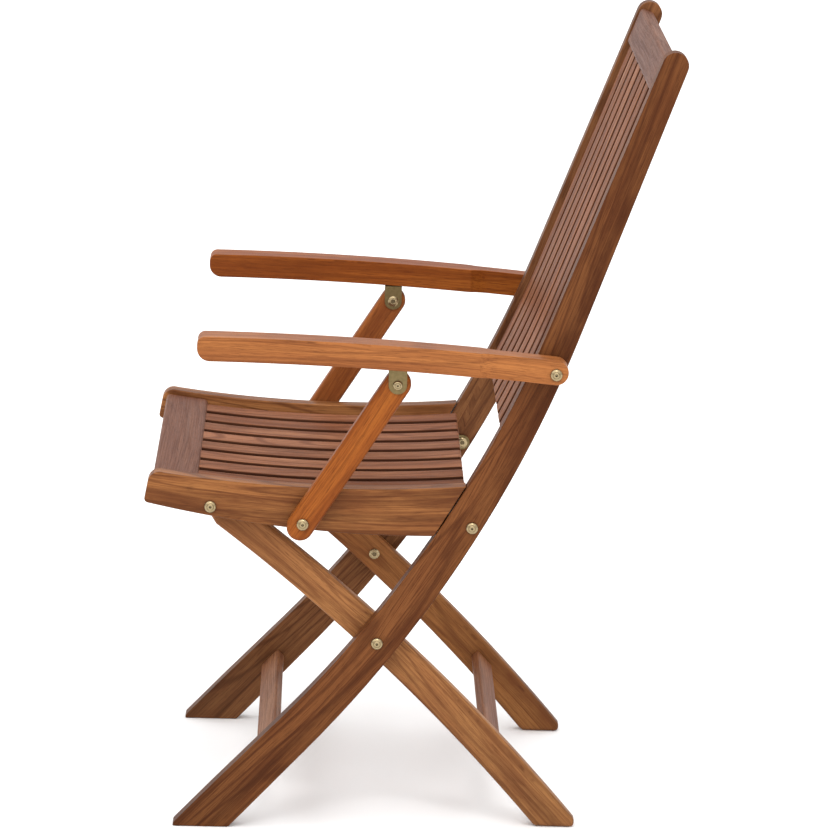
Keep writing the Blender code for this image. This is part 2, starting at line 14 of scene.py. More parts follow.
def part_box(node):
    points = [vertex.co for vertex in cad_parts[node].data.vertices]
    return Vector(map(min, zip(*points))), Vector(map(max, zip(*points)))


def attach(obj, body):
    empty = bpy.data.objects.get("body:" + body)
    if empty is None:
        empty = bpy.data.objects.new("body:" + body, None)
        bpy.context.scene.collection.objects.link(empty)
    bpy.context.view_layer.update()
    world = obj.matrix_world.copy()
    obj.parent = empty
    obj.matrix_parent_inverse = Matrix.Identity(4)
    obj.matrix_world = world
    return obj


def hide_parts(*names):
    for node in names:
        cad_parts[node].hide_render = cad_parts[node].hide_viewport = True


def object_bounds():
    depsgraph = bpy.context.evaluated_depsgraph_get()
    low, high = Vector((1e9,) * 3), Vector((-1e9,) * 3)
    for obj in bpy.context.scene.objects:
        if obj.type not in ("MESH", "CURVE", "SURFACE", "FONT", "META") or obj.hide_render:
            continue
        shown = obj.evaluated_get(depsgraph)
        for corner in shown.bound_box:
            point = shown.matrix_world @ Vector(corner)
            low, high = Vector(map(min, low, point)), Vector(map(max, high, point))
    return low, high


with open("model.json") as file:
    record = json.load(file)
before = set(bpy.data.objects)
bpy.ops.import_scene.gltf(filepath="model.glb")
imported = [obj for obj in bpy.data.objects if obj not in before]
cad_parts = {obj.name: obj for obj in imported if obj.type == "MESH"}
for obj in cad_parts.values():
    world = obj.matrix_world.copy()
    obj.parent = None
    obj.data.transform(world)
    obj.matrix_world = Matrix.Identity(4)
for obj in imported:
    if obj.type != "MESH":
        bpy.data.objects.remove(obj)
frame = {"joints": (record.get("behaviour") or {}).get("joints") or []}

bl_info = {
    "name": "Folding Garden Armchair",
    "version": (1, 0, 0),
    "blender": (4, 5, 0),
    "location": "View3D > Sidebar > Armchair",
    "description": "Builds the boards, slats, pivots and finishes of a folding garden armchair",
    "category": "Add Mesh",
}

CAD_LOW, CAD_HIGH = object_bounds()


def joint_point(name):
    """Where a joint's axis crosses the side view, as (y, z)."""
    found = next(joint for joint in frame["joints"] if joint["name"] == name)
    return found["pos_m"][1], found["pos_m"][2]


def box_middle(node):
    low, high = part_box(node)
    return (low.y + high.y) / 2, (low.z + high.z) / 2


def across(node):
    """The two faces of a left-hand piece along X, nearest the centre plane first."""
    low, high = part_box(node)
    return low.x, high.x


CROSS = joint_point("leg_cross")
STAY = joint_point("fold")
KNEE = joint_point("seat_knee")
ELBOW = joint_point("arm_elbow_left")
BRACKET = joint_point("support_left")
TOE = box_middle("leg_pin_left")
RAIL_IN, RAIL_OUT = across("back_rail_left")
LEG_IN, LEG_OUT = across("leg_left")
ARM_IN, ARM_OUT = across("arm_left")
SUPPORT_IN, SUPPORT_OUT = across("arm_support_left")
LINK_IN, LINK_OUT = across("stay_link_left")
BOARD_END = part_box("back_top_board")[1].x
HEIGHT = CAD_HIGH.z
FIT = 0.0003                      # clearance between pieces that touch
SIDES = (("left", 1), ("right", -1))

# Back rail: straight foot, one long bend, straight top.
RAIL_START_Y = -0.2388
RAIL_FOOT_ANGLE = radians(46.6)
RAIL_STRAIGHT = 0.160
RAIL_BEND = 0.584
RAIL_TURN = radians(23.0)
RAIL_WIDTH_FOOT = 0.0515
RAIL_WIDTH_TOP = 0.0310
RAIL_TAPER_LENGTH = 1.08
RAIL_LONGEST = 1.2                # beyond the rail's top, where a search along it starts
RAIL_TOE_BACK = 0.0312
RAIL_FRONT_FROM = 0.055           # lengths where the long edges end above the foot
RAIL_REAR_FROM = 0.050
HEEL_RADIUS = 0.005
TOE_RADIUS = 0.006
FRONT_STRETCHER_AT = 0.1125       # length along the rail
FRONT_STRETCHER_BEHIND = 0.0036   # behind the rail's centre line
FRONT_STRETCHER_WIDTH = 0.031
STRETCHER_THICK = 0.0125

# Leg: one shallow bend from the seat to the rear foot.
LEG_ANGLE = radians(-36.0)
LEG_TURN = radians(-14.2)
LEG_BEND = 0.600
LEG_WIDTH_TOP = 0.0375
LEG_WIDTH_FOOT = 0.0425
LEG_TIP_RADIUS = 0.0100
LEG_TOE_Y = 0.2105
LEG_HIGH_SPAN = (0.045, 0.572)    # lengths where the upper edge starts and ends
LEG_LOW_SPAN = (0.545, 0.022)     # the same for the lower edge, from the heel
REAR_STRETCHER_AT = 0.455
REAR_STRETCHER_WIDTH = 0.028

# Seat: a dished top, with the slats a little below the rails.
SEAT_LOW_Y = -0.070
SEAT_LOW_Z = 0.4168
SEAT_RADIUS = 1.62
SEAT_BELLY_Y = 0.001
SEAT_BELLY_Z = 0.3615
SEAT_BELLY_RADIUS = 1.42
SEAT_FRONT_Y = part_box("seat_rail_left")[0].y
SEAT_REAR_Y = 0.068
SEAT_NOSE_LEAN = 0.007
SEAT_CHIN_RADIUS = 0.005
SEAT_BROW_RADIUS = 0.014
SEAT_TAIL_CLEAR = 0.0012          # seat rails' rear ends to the back rails' front edges
SEAT_TAIL_Y = 0.030
SEAT_MIDDLE_DROP = 0.027          # the seat rails' grain line below their tops
SLAT_DROP = 0.0085
BOARD_DROP = 0.0055
BOARD_REAR_Y = -0.2480
BOARD_INSET = 0.010
BOARD_THICK = 0.012
SLAT_THICK = 0.011
BATTEN_THICK = 0.012
FRONT_BATTEN = (-0.252, -0.217)   # from and to, along Y
REAR_BATTEN = (0.016, 0.048)
SLAT_TENON = 0.005                # how far a slat is housed in the board at its end
SLAT_END_RISE = 0.0040            # how much the housed end is thinned from below

# Backrest.
BACK_SLAT_DEPTH = 0.006
BACK_SLAT_THICK = 0.011
BACK_SLAT_LOW_Z = 0.483
BACK_BOARD_LOW_Z = 0.892
BACK_BOARD_WIDTH = 0.0465
BACK_BOARD_THICK = 0.018
BACK_BOARD_DEPTH = 0.002
LOWER_RAIL = (0.010, 0.048)       # from and to, above the slats' lower ends
LOWER_RAIL_THICK = 0.014

# Arms and supports.
ARM_FRONT_Y = -0.2500
ARM_LOW_Z = 0.5742
ARM_RADIUS = 4.45
ARM_HEIGHT = 0.0290
ARM_WAIST_INNER = 0.2590
ARM_WAIST_Y = 0.060
ARM_WAIST_RADIUS = 0.045
ARM_BROW_RADIUS = 0.009
ARM_CHIN_RADIUS = 0.015
ARM_ROUNDING = 0.0055
ARM_REAR_OUTER = 0.2880
ARM_SCOOP_Y = 0.100
ARM_SCOOP_RADIUS = 0.060
SUPPORT_HALF_WIDTH = 0.0158
SUPPORT_TAIL = 0.0055             # the lower end's extra length beyond its pivot
SUPPORT_ROUNDING = 0.0045

# Metal.
SHANK_RADIUS = 0.0038
CAP_RADIUS = 0.0072
CAP_HEIGHT = 0.0042
RIVET_RADIUS = 0.0057
WASHER_RADIUS = 0.0095
LINK_HALF_WIDTH = 0.0092
STRAP_THICK = 0.0018
STRAP_HALF_WIDTH = 0.0108
STRAP_ROUNDING = 0.0004
LINK_ROUNDING = 0.0005
NUT_HEIGHT = 0.0032
RIVET_TAIL_HEIGHT = 0.0016
SEAT_WASHER_THICK = 0.0019
WASHER_CHAMFER = 0.0003
ROUND = 40                        # sides of a turned piece
HEAD_ROUND = 56

# Profiles of turned pieces.
NUT_PROFILE = ((0.2, 0.0), (0.2, 0.30), (0.0, 0.38), (0.0, 0.72), (0.15, 0.84), (0.35, 0.92))
KNEE_HEAD = ((0.0030, 0.0), (0.0030, 0.0050), (0.0022, 0.0062), (0.0006, 0.0072), (0.0, 0.0072))

# Light and camera.
FLOOR_HALF = 30.0
FLOOR_TOP = -0.0002
SKY_STRENGTH = (0.0, 0.9, 0.78, 1.45)   # from and to in height, from and to in strength
SUNS = (
    # name, the place that it shines from, spread in degrees, power
    ("key", (1.4, -1.2, 2.6), 70.0, 0.80),
    ("front", (2.6, 0.3, 0.9), 60.0, 0.62),
    ("glint", (1.5, 0.2, 2.3), 11.0, 0.34),
)
CAMERA_PLACE = (5.7091, -0.1067, 1.6687)
CAMERA_RIGHT = (0.014809, 0.999523, 0.027109)
CAMERA_BACK = (0.977925, -0.020130, 0.207985)
CAMERA_LENS = 206.66


class ChairSizes(PropertyGroup):
    """Sizes of the finish, which the frame leaves open."""

    board_rounding: FloatProperty(
        name="Board rounding", description="Radius on the edges of rails, legs and arms",
        default=0.005, unit="LENGTH")
    slat_rounding: FloatProperty(
        name="Slat rounding", description="Radius on the edges of the slats",
        default=0.0028, unit="LENGTH")
    rounding_steps: IntProperty(
        name="Rounding steps", description="Flats across each rounded edge", default=5, min=1)
    slat_count: IntProperty(
        name="Slats", description="Slats across the seat and across the back", default=8, min=1)
    slat_width: FloatProperty(
        name="Slat width", description="Width of a slat across the chair",
        default=0.042, unit="LENGTH")
    slat_pitch: FloatProperty(
        name="Slat pitch", description="Distance from one slat to the next",
        default=0.054, unit="LENGTH")
    dimple_across: FloatProperty(
        name="Dimple", description="Width of the dimple in the middle of a bolt head",
        default=0.0030, unit="LENGTH")


COLOURS = (
    # key, name, description, default
    ("back_rail", "Back rails", "Middle tone of the back rails", (0.14, 0.047, 0.016)),
    ("arm", "Arms", "Middle tone of the arms and their supports", (0.27, 0.074, 0.014)),
    ("leg", "Legs", "Middle tone of the legs", (0.29, 0.118, 0.042)),
    ("seat_rail", "Seat rails", "Middle tone of the seat's side rails", (0.222, 0.080, 0.026)),
    ("slat", "Slats", "Middle tone of the slats", (0.192, 0.0685, 0.033)),
    ("board", "Boards", "Middle tone of the front board and the top board", (0.158, 0.062, 0.036)),
    ("stretcher", "Stretchers", "Middle tone of the stretchers", (0.232, 0.080, 0.033)),
    ("brass", "Plating", "Yellow plating on the bolts", (0.38, 0.29, 0.165)),
    ("strap", "Strap", "Duller plating on the brackets and links", (0.205, 0.15, 0.07)),
)


class ChairColours(PropertyGroup):
    """Colours of the oiled wood and the plating."""

    __annotations__ = {
        key: FloatVectorProperty(
            name=name, description=description, subtype="COLOR", default=default)
        for key, name, description, default in COLOURS}


# ---- outlines

def arc(centre, radius, start, end, count):
    return [(centre[0] + radius * cos(start + (end - start) * k / count),
             centre[1] + radius * sin(start + (end - start) * k / count)) for k in range(count + 1)]


def fillet(before, corner, after, radius, count=8):
    """The rounded corner of an outline, as points on an arc."""
    into = (Vector(before) - Vector(corner)).normalized()
    out = (Vector(after) - Vector(corner)).normalized()
    half = into.angle(out) / 2
    centre = Vector(corner) + (into + out).normalized() * (radius / sin(half))
    first = Vector(corner) + into * (radius / tan(half)) - centre
    last = Vector(corner) + out * (radius / tan(half)) - centre
    start = atan2(first.y, first.x)
    sweep = (atan2(last.y, last.x) - start + pi) % (2 * pi) - pi
    return arc(centre, radius, start, start + sweep, count)


def rail_centre(s):
    """Point and heading on the back rail's centre line, at length s from the floor."""
    radius = RAIL_BEND / RAIL_TURN
    y = RAIL_START_Y + cos(RAIL_FOOT_ANGLE) * min(s, RAIL_STRAIGHT)
    z = sin(RAIL_FOOT_ANGLE) * min(s, RAIL_STRAIGHT)
    angle = RAIL_FOOT_ANGLE
    if s > RAIL_STRAIGHT:
        turned = min(s - RAIL_STRAIGHT, RAIL_BEND) / radius
        y += radius * (sin(angle + turned) - sin(angle))
        z += radius * (cos(angle) - cos(angle + turned))
        angle += turned
    beyond = max(0.0, s - RAIL_STRAIGHT - RAIL_BEND)
    return y + cos(angle) * beyond, z + sin(angle) * beyond, angle


def rail_half(s):
    return (RAIL_WIDTH_FOOT + (RAIL_WIDTH_TOP - RAIL_WIDTH_FOOT) * s / RAIL_TAPER_LENGTH) / 2


def rail_edge(s, depth):
    """A point at a depth behind the back rail's front edge."""
    y, z, angle = rail_centre(s)
    offset = rail_half(s) - depth
    return y - sin(angle) * offset, z + cos(angle) * offset


def rail_length_at(height, depth=0.0):
    """The length along the rail where a point at this depth reaches a height."""
    low, high = 0.0, RAIL_LONGEST
    for _ in range(40):
        middle = (low + high) / 2
        if rail_edge(middle, depth)[1] < height:
            low = middle
        else:
            high = middle
    return low


def leg_centre(s):
    radius = LEG_BEND / LEG_TURN
    angle = LEG_ANGLE + s / radius
    y = TOE[0] + radius * (sin(angle) - sin(LEG_ANGLE))
    z = TOE[1] + radius * (cos(LEG_ANGLE) - cos(angle))
    return y, z, angle


def leg_edge(s, side):
    y, z, angle = leg_centre(s)
    half = side * (LEG_WIDTH_TOP + (LEG_WIDTH_FOOT - LEG_WIDTH_TOP) * s / LEG_BEND) / 2
    return y - sin(angle) * half, z + cos(angle) * half


def seat_top(y, drop=0.0):
    return SEAT_LOW_Z + (y - SEAT_LOW_Y) ** 2 / (2 * SEAT_RADIUS) - drop


def seat_belly(y):
    return SEAT_BELLY_Z + (y - SEAT_BELLY_Y) ** 2 / (2 * SEAT_BELLY_RADIUS)


def arm_low(y):
    return ARM_LOW_Z - (y - ARM_FRONT_Y) ** 2 / (2 * ARM_RADIUS)


def back_rail_outline():
    top = rail_length_at(HEIGHT - RAIL_WIDTH_TOP / 2, RAIL_WIDTH_TOP / 2)
    y, z, angle = rail_centre(top)
    front = [rail_edge(s, 0.0) for s in np.linspace(RAIL_FRONT_FROM, top, 40)]
    rear = [rail_edge(s, 2 * rail_half(s)) for s in np.linspace(top, RAIL_REAR_FROM, 40)]
    crown = arc((y, z), rail_half(top), angle + pi / 2, angle - pi / 2, 16)[1:-1]
    toe_y = RAIL_START_Y - RAIL_TOE_BACK
    heel_y = rear[-1][0] - rear[-1][1] / tan(RAIL_FOOT_ANGLE)
    heel = fillet(rear[-1], (heel_y, 0.0), (toe_y, 0.0), HEEL_RADIUS, 6)
    toe_top = front[0][1] - (front[0][0] - toe_y) * tan(RAIL_FOOT_ANGLE)
    toe = fillet((toe_y, 0.0), (toe_y, toe_top), front[0], TOE_RADIUS, 6)
    return front + crown + rear + heel + [(toe_y, 0.0)] + toe


def leg_outline():
    high = [leg_edge(s, 1) for s in np.linspace(*LEG_HIGH_SPAN, 30)]
    low = [leg_edge(s, -1) for s in np.linspace(*LEG_LOW_SPAN, 30)]
    toe_top = high[-1][1] + (LEG_TOE_Y - high[-1][0]) * tan(leg_centre(LEG_HIGH_SPAN[1])[2])
    heel_y = low[0][0] - low[0][1] / tan(leg_centre(LEG_LOW_SPAN[0])[2])
    toe = fillet(high[-1], (LEG_TOE_Y, toe_top), (LEG_TOE_Y, 0.0), TOE_RADIUS, 6)
    tip = arc(TOE, LEG_TIP_RADIUS, LEG_ANGLE - pi / 2, LEG_ANGLE - 3 * pi / 2, 16)
    return high + toe + [(LEG_TOE_Y, 0.0), (heel_y, 0.0)] + low + tip


def seat_rail_outline():
    rear_low = rail_edge(rail_length_at(seat_belly(SEAT_TAIL_Y)), -SEAT_TAIL_CLEAR)
    rear_high = rail_edge(rail_length_at(seat_top(SEAT_REAR_Y)), -SEAT_TAIL_CLEAR)
    top = [(y, seat_top(y)) for y in np.linspace(SEAT_FRONT_Y + 0.024, rear_high[0] - 0.004, 30)]
    under = np.linspace(rear_low[0] - 0.002, SEAT_FRONT_Y + 0.014, 30)
    belly = [(y, seat_belly(y)) for y in under]
    nose_low = (SEAT_FRONT_Y, seat_belly(SEAT_FRONT_Y))
    nose_high = (SEAT_FRONT_Y + SEAT_NOSE_LEAN, seat_top(SEAT_FRONT_Y))
    chin = fillet(belly[-1], nose_low, nose_high, SEAT_CHIN_RADIUS)
    brow = fillet(nose_low, nose_high, top[0], SEAT_BROW_RADIUS, 12)
    return top + [rear_high, rear_low] + belly + chin + brow


def seat_strip(y_front, y_rear, drop, thick, count=24):
    """Outline of a piece that follows the dish of the seat."""
    ys = np.linspace(y_front, y_rear, count)
    upper = [(y, seat_top(y, drop)) for y in ys]
    return upper + [(y, seat_top(y, drop + thick)) for y in ys[::-1]]


def back_strip(s_low, s_high, depth, thick, count=24):
    """Outline of a piece that follows the bend of the back rails between two lengths."""
    lengths = np.linspace(s_low, s_high, count)
    front = [rail_edge(s, depth) for s in lengths]
    return front + [rail_edge(s, depth + thick) for s in lengths[::-1]]


def bar_between(start, end, radius, count=20):
    """Outline of a flat bar with a round end about each of two pivots."""
    heading = atan2(end[1] - start[1], end[0] - start[0])
    return (arc(end, radius, heading - pi / 2, heading + pi / 2, count)
            + arc(start, radius, heading + pi / 2, heading + 3 * pi / 2, count))


def crossbar_outline(centre, heading, width, thick):
    along = Vector((cos(heading), sin(heading))) * width / 2
    over = Vector((-sin(heading), cos(heading))) * thick / 2
    middle = Vector(centre)
    return [tuple(middle + p * along + q * over) for p, q in ((-1, -1), (1, -1), (1, 1), (-1, 1))]


def arm_outline():
    ys = np.linspace(ARM_FRONT_Y + 0.022, ELBOW[0], 30)
    under = [(y, arm_low(y)) for y in ys]
    over = [(y, arm_low(y) + ARM_HEIGHT) for y in ys[::-1]]
    low = (ARM_FRONT_Y, ARM_LOW_Z)
    high = (ARM_FRONT_Y, ARM_LOW_Z + ARM_HEIGHT)
    end_z = arm_low(ELBOW[0]) + ARM_HEIGHT / 2
    end = arc((ELBOW[0], end_z), ARM_HEIGHT / 2, -pi / 2, pi / 2, 16)[1:-1]
    brow = fillet(over[-1], high, low, ARM_BROW_RADIUS)
    return under + end + over + brow + fillet(high, low, under[0], ARM_CHIN_RADIUS)


# ---- meshes

def prism(outline, x_low, x_high, axis="X"):
    """A board with an outline in the side view, or in plan if axis is Z, between two planes."""
    bm = bmesh.new()
    place = (lambda h, a, b: (h, a, b)) if axis == "X" else (lambda h, a, b: (a, b, h))
    low = [bm.verts.new(place(x_low, a, b)) for a, b in outline]
    high = [bm.verts.new(place(x_high, a, b)) for a, b in outline]
    bm.faces.new(low)
    bm.faces.new(high)
    for i in range(len(outline)):
        j = (i + 1) % len(outline)
        bm.faces.new((low[i], low[j], high[j], high[i]))
    bmesh.ops.recalc_face_normals(bm, faces=bm.faces)
    return bm


def lathe(pivot, profile, side=1, closed=False, sides=ROUND):
    """Turn a profile of (x, radius) points about the X axis through a pivot."""
    bm = bmesh.new()
    rings = []
    for x, radius in profile:
        turns = range(sides) if radius else range(1)
        rings.append([bm.verts.new((side * x, pivot[0] + radius * cos(2 * pi * k / sides),
                                    pivot[1] + radius * sin(2 * pi * k / sides))) for k in turns])
    pairs = list(zip(rings, rings[1:]))
    if closed:
        pairs.append((rings[-1], rings[0]))
    for a, b in pairs:
        for k in range(sides):
            n = (k + 1) % sides
            corners = [a[k % len(a)], a[n % len(a)], b[n % len(b)], b[k % len(b)]]
            bm.faces.new(list(dict.fromkeys(corners)))
    bmesh.ops.recalc_face_normals(bm, faces=bm.faces)
    return bm


def mesh_object(name, bm):
    mesh = bpy.data.meshes.new(name)
    bm.to_mesh(mesh)
    bm.free()
    made = bpy.data.objects.new(name, mesh)
    bpy.context.collection.objects.link(made)
    return made


def settle(piece):
    """Turn the evaluated object into a plain mesh and take its modifiers off."""
    bpy.context.view_layer.update()
    graph = bpy.context.evaluated_depsgraph_get()
    mesh = bpy.data.meshes.new_from_object(piece.evaluated_get(graph))
    mesh.name = piece.name
    piece.modifiers.clear()
    old = piece.data
    piece.data = mesh
    bpy.data.meshes.remove(old)


def shade(piece, angle=32):
    """Smooth shading with flat faces kept flat beside the rounded edges."""
    piece.data.shade_smooth()
    piece.data.set_sharp_from_angle(angle=radians(angle))
    weighted = piece.modifiers.new("faces", "WEIGHTED_NORMAL")
    weighted.keep_sharp = True
    weighted.weight = 60
    settle(piece)


def round_edges(piece, radius, steps):
    bevel = piece.modifiers.new("edges", "BEVEL")
    bevel.width = radius
    bevel.segments = steps
    bevel.limit_method = "ANGLE"
    bevel.angle_limit = radians(38)
    settle(piece)


def take_away(piece, cutters):
    """Cut with each mesh, then remove the cutters."""
    guides = [mesh_object("guide", cutter) for cutter in cutters]
    for guide in guides:
        boolean = piece.modifiers.new("cut", "BOOLEAN")
        boolean.operation = "DIFFERENCE"
        boolean.object = guide
    settle(piece)
    for guide in guides:
        bpy.data.meshes.remove(guide.data)


def drills(*pivots):
    reach = 0.4
    wide = SHANK_RADIUS + FIT
    profile = [(-reach, 0.0), (-reach, wide), (reach, wide), (reach, 0.0)]
    return [lathe(pivot, profile) for pivot in pivots]


def store(mesh, name, values, kind="FLOAT"):
    """Keep a value or a vector for each point, for the materials and node trees to read."""
    attribute = mesh.attributes.new(name, kind, "POINT")
    field = "vector" if kind == "FLOAT_VECTOR" else "value"
    attribute.data.foreach_set(field, np.asarray(values, np.float32).ravel())


def lay_grain(piece, line, seed, crosswise=False):
    """Store where each point lies in the board's grain, which follows a line in the side view."""
    draw = random.Random(seed)
    shift = np.array([draw.uniform(0.0, 4.0) for _ in range(3)])
    points = np.empty(len(piece.data.vertices) * 3, np.float32)
    piece.data.vertices.foreach_get("co", points)
    points = points.reshape(-1, 3)
    line = np.array(line)
    steps = np.diff(line, axis=0)
    lengths = np.concatenate([[0.0], np.cumsum(np.hypot(*steps.T))])
    away = points[:, None, 1:] - line[None, :-1]
    nearest = np.argmin((away ** 2).sum(axis=2), axis=1)
    heading = (steps / np.hypot(*steps.T)[:, None])[nearest]
    offset = away[np.arange(len(points)), nearest]
    along = lengths[nearest] + (offset * heading).sum(axis=1)
    over = heading[:, 0] * offset[:, 1] - heading[:, 1] * offset[:, 0]
    sideways = points[:, 0]
    order = [sideways, along, over] if crosswise else [along, over, sideways]
    grain = np.stack(order, axis=1) + shift
    store(piece.data, "grain", grain, "FLOAT_VECTOR")
    store(piece.data, "tone", np.full(len(points), draw.random()))
    reach = np.abs(sideways - sideways.mean())
    store(piece.data, "flank", reach / reach.max())


def rail_line():
    return [rail_centre(s)[:2] for s in np.linspace(-0.05, 1.12, 300)]


def leg_line():
    return [leg_centre(s)[:2] for s in np.linspace(-0.03, 0.66, 200)]


def seat_line():
    return [(y, seat_top(y, SEAT_MIDDLE_DROP)) for y in np.linspace(-0.34, 0.12, 120)]


def arm_line():
    return [(y, arm_low(y) + ARM_HEIGHT / 2) for y in np.linspace(-0.28, 0.22, 120)]


def straight_line(start, end):
    """A fine line through two points and a little beyond them."""
    start, end = np.array(start), np.array(end)
    return [start + (end - start) * t for t in np.linspace(-0.3, 1.3, 100)]


def board(name, outline, x_low, x_high, finish, line, rounding, seed,
          cutters=(), shaping=(), crosswise=False):
    """One wooden piece: a sawn outline, shaped, rounded, drilled and laid out in its grain."""
    steps = bpy.context.scene.chair_sizes.rounding_steps
    piece = mesh_object(name, prism(outline, min(x_low, x_high), max(x_low, x_high)))
    if shaping:
        take_away(piece, shaping)
    round_edges(piece, rounding, steps)
    if cutters:
        take_away(piece, cutters)
    shade(piece)
    lay_grain(piece, line, seed, crosswise)
    piece.data.materials.clear()
    piece.data.materials.append(finish)
    return piece


def hand_over(piece, body, slot, *nodes):
    """Give a finished piece its body and hide the frame pieces that it stands for; its slot is not
    used.
    """
    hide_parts(*nodes)
    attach(piece, body)


# ---- node helpers

def feed(tree, socket, value):
    """Link a socket from another one, or set its value."""
    if isinstance(value, bpy.types.NodeSocket):
        tree.links.new(value, socket)
    else:
        socket.default_value = value


def node(tree, kind, inputs=(), **settings):
    """A node with its settings, and its inputs linked from sockets or set to values."""
    made = tree.nodes.new(kind)
    for key, value in settings.items():
        setattr(made, key, value)
    for key, value in dict(inputs).items():
        feed(tree, made.inputs[key], value)
    return made


def new_material(name):
    material = bpy.data.materials.new(name)
    material.use_nodes = True
    tree = material.node_tree
    return material, tree, tree.nodes["Principled BSDF"]


def stretched(tree, source, scale):
    return node(tree, "ShaderNodeMapping", {"Vector": source, "Scale": scale}).outputs["Vector"]


def noise(tree, vector, scale, detail, roughness=0.55):
    made = node(tree, "ShaderNodeTexNoise", {
        "Vector": vector, "Scale": scale, "Detail": detail, "Roughness": roughness})
    return made.outputs["Fac"]


def math(tree, operation, first, second=0.0, third=0.0):
    made = node(tree, "ShaderNodeMath", operation=operation)
    for socket, value in zip(made.inputs, (first, second, third)):
        feed(tree, socket, value)
    return made.outputs["Value"]


def vector_sum(tree, first, second):
    made = node(tree, "ShaderNodeVectorMath", {0: first, 1: second}, operation="ADD")
    return made.outputs["Vector"]


def remap(tree, value, low, high, to_low, to_high):
    made = node(tree, "ShaderNodeMapRange", {
        "Value": value, "From Min": low, "From Max": high, "To Min": to_low, "To Max": to_high})
    return made.outputs["Result"]


def mix_colour(tree, factor, first, second):
    made = node(tree, "ShaderNodeMix", {0: factor, 6: first, 7: second}, data_type="RGBA")
    return made.outputs[2]


def raise_surface(tree, shader, height, strength, distance):
    bump = node(tree, "ShaderNodeBump", {
        "Height": height, "Strength": strength, "Distance": distance})
    tree.links.new(bump.outputs["Normal"], shader.inputs["Normal"])


def shaded(colour, factor, warm=1.0):
    """A lighter or darker version of a colour, a little redder or yellower."""
    return (colour[0] * factor, colour[1] * factor * warm, colour[2] * factor * warm, 1.0)


def layer(tree, place, scale, detail, roughness):
    """Noise drawn out along the board: how often it changes along, over and across the grain."""
    return noise(tree, stretched(tree, place, scale), 1.0, detail, roughness)


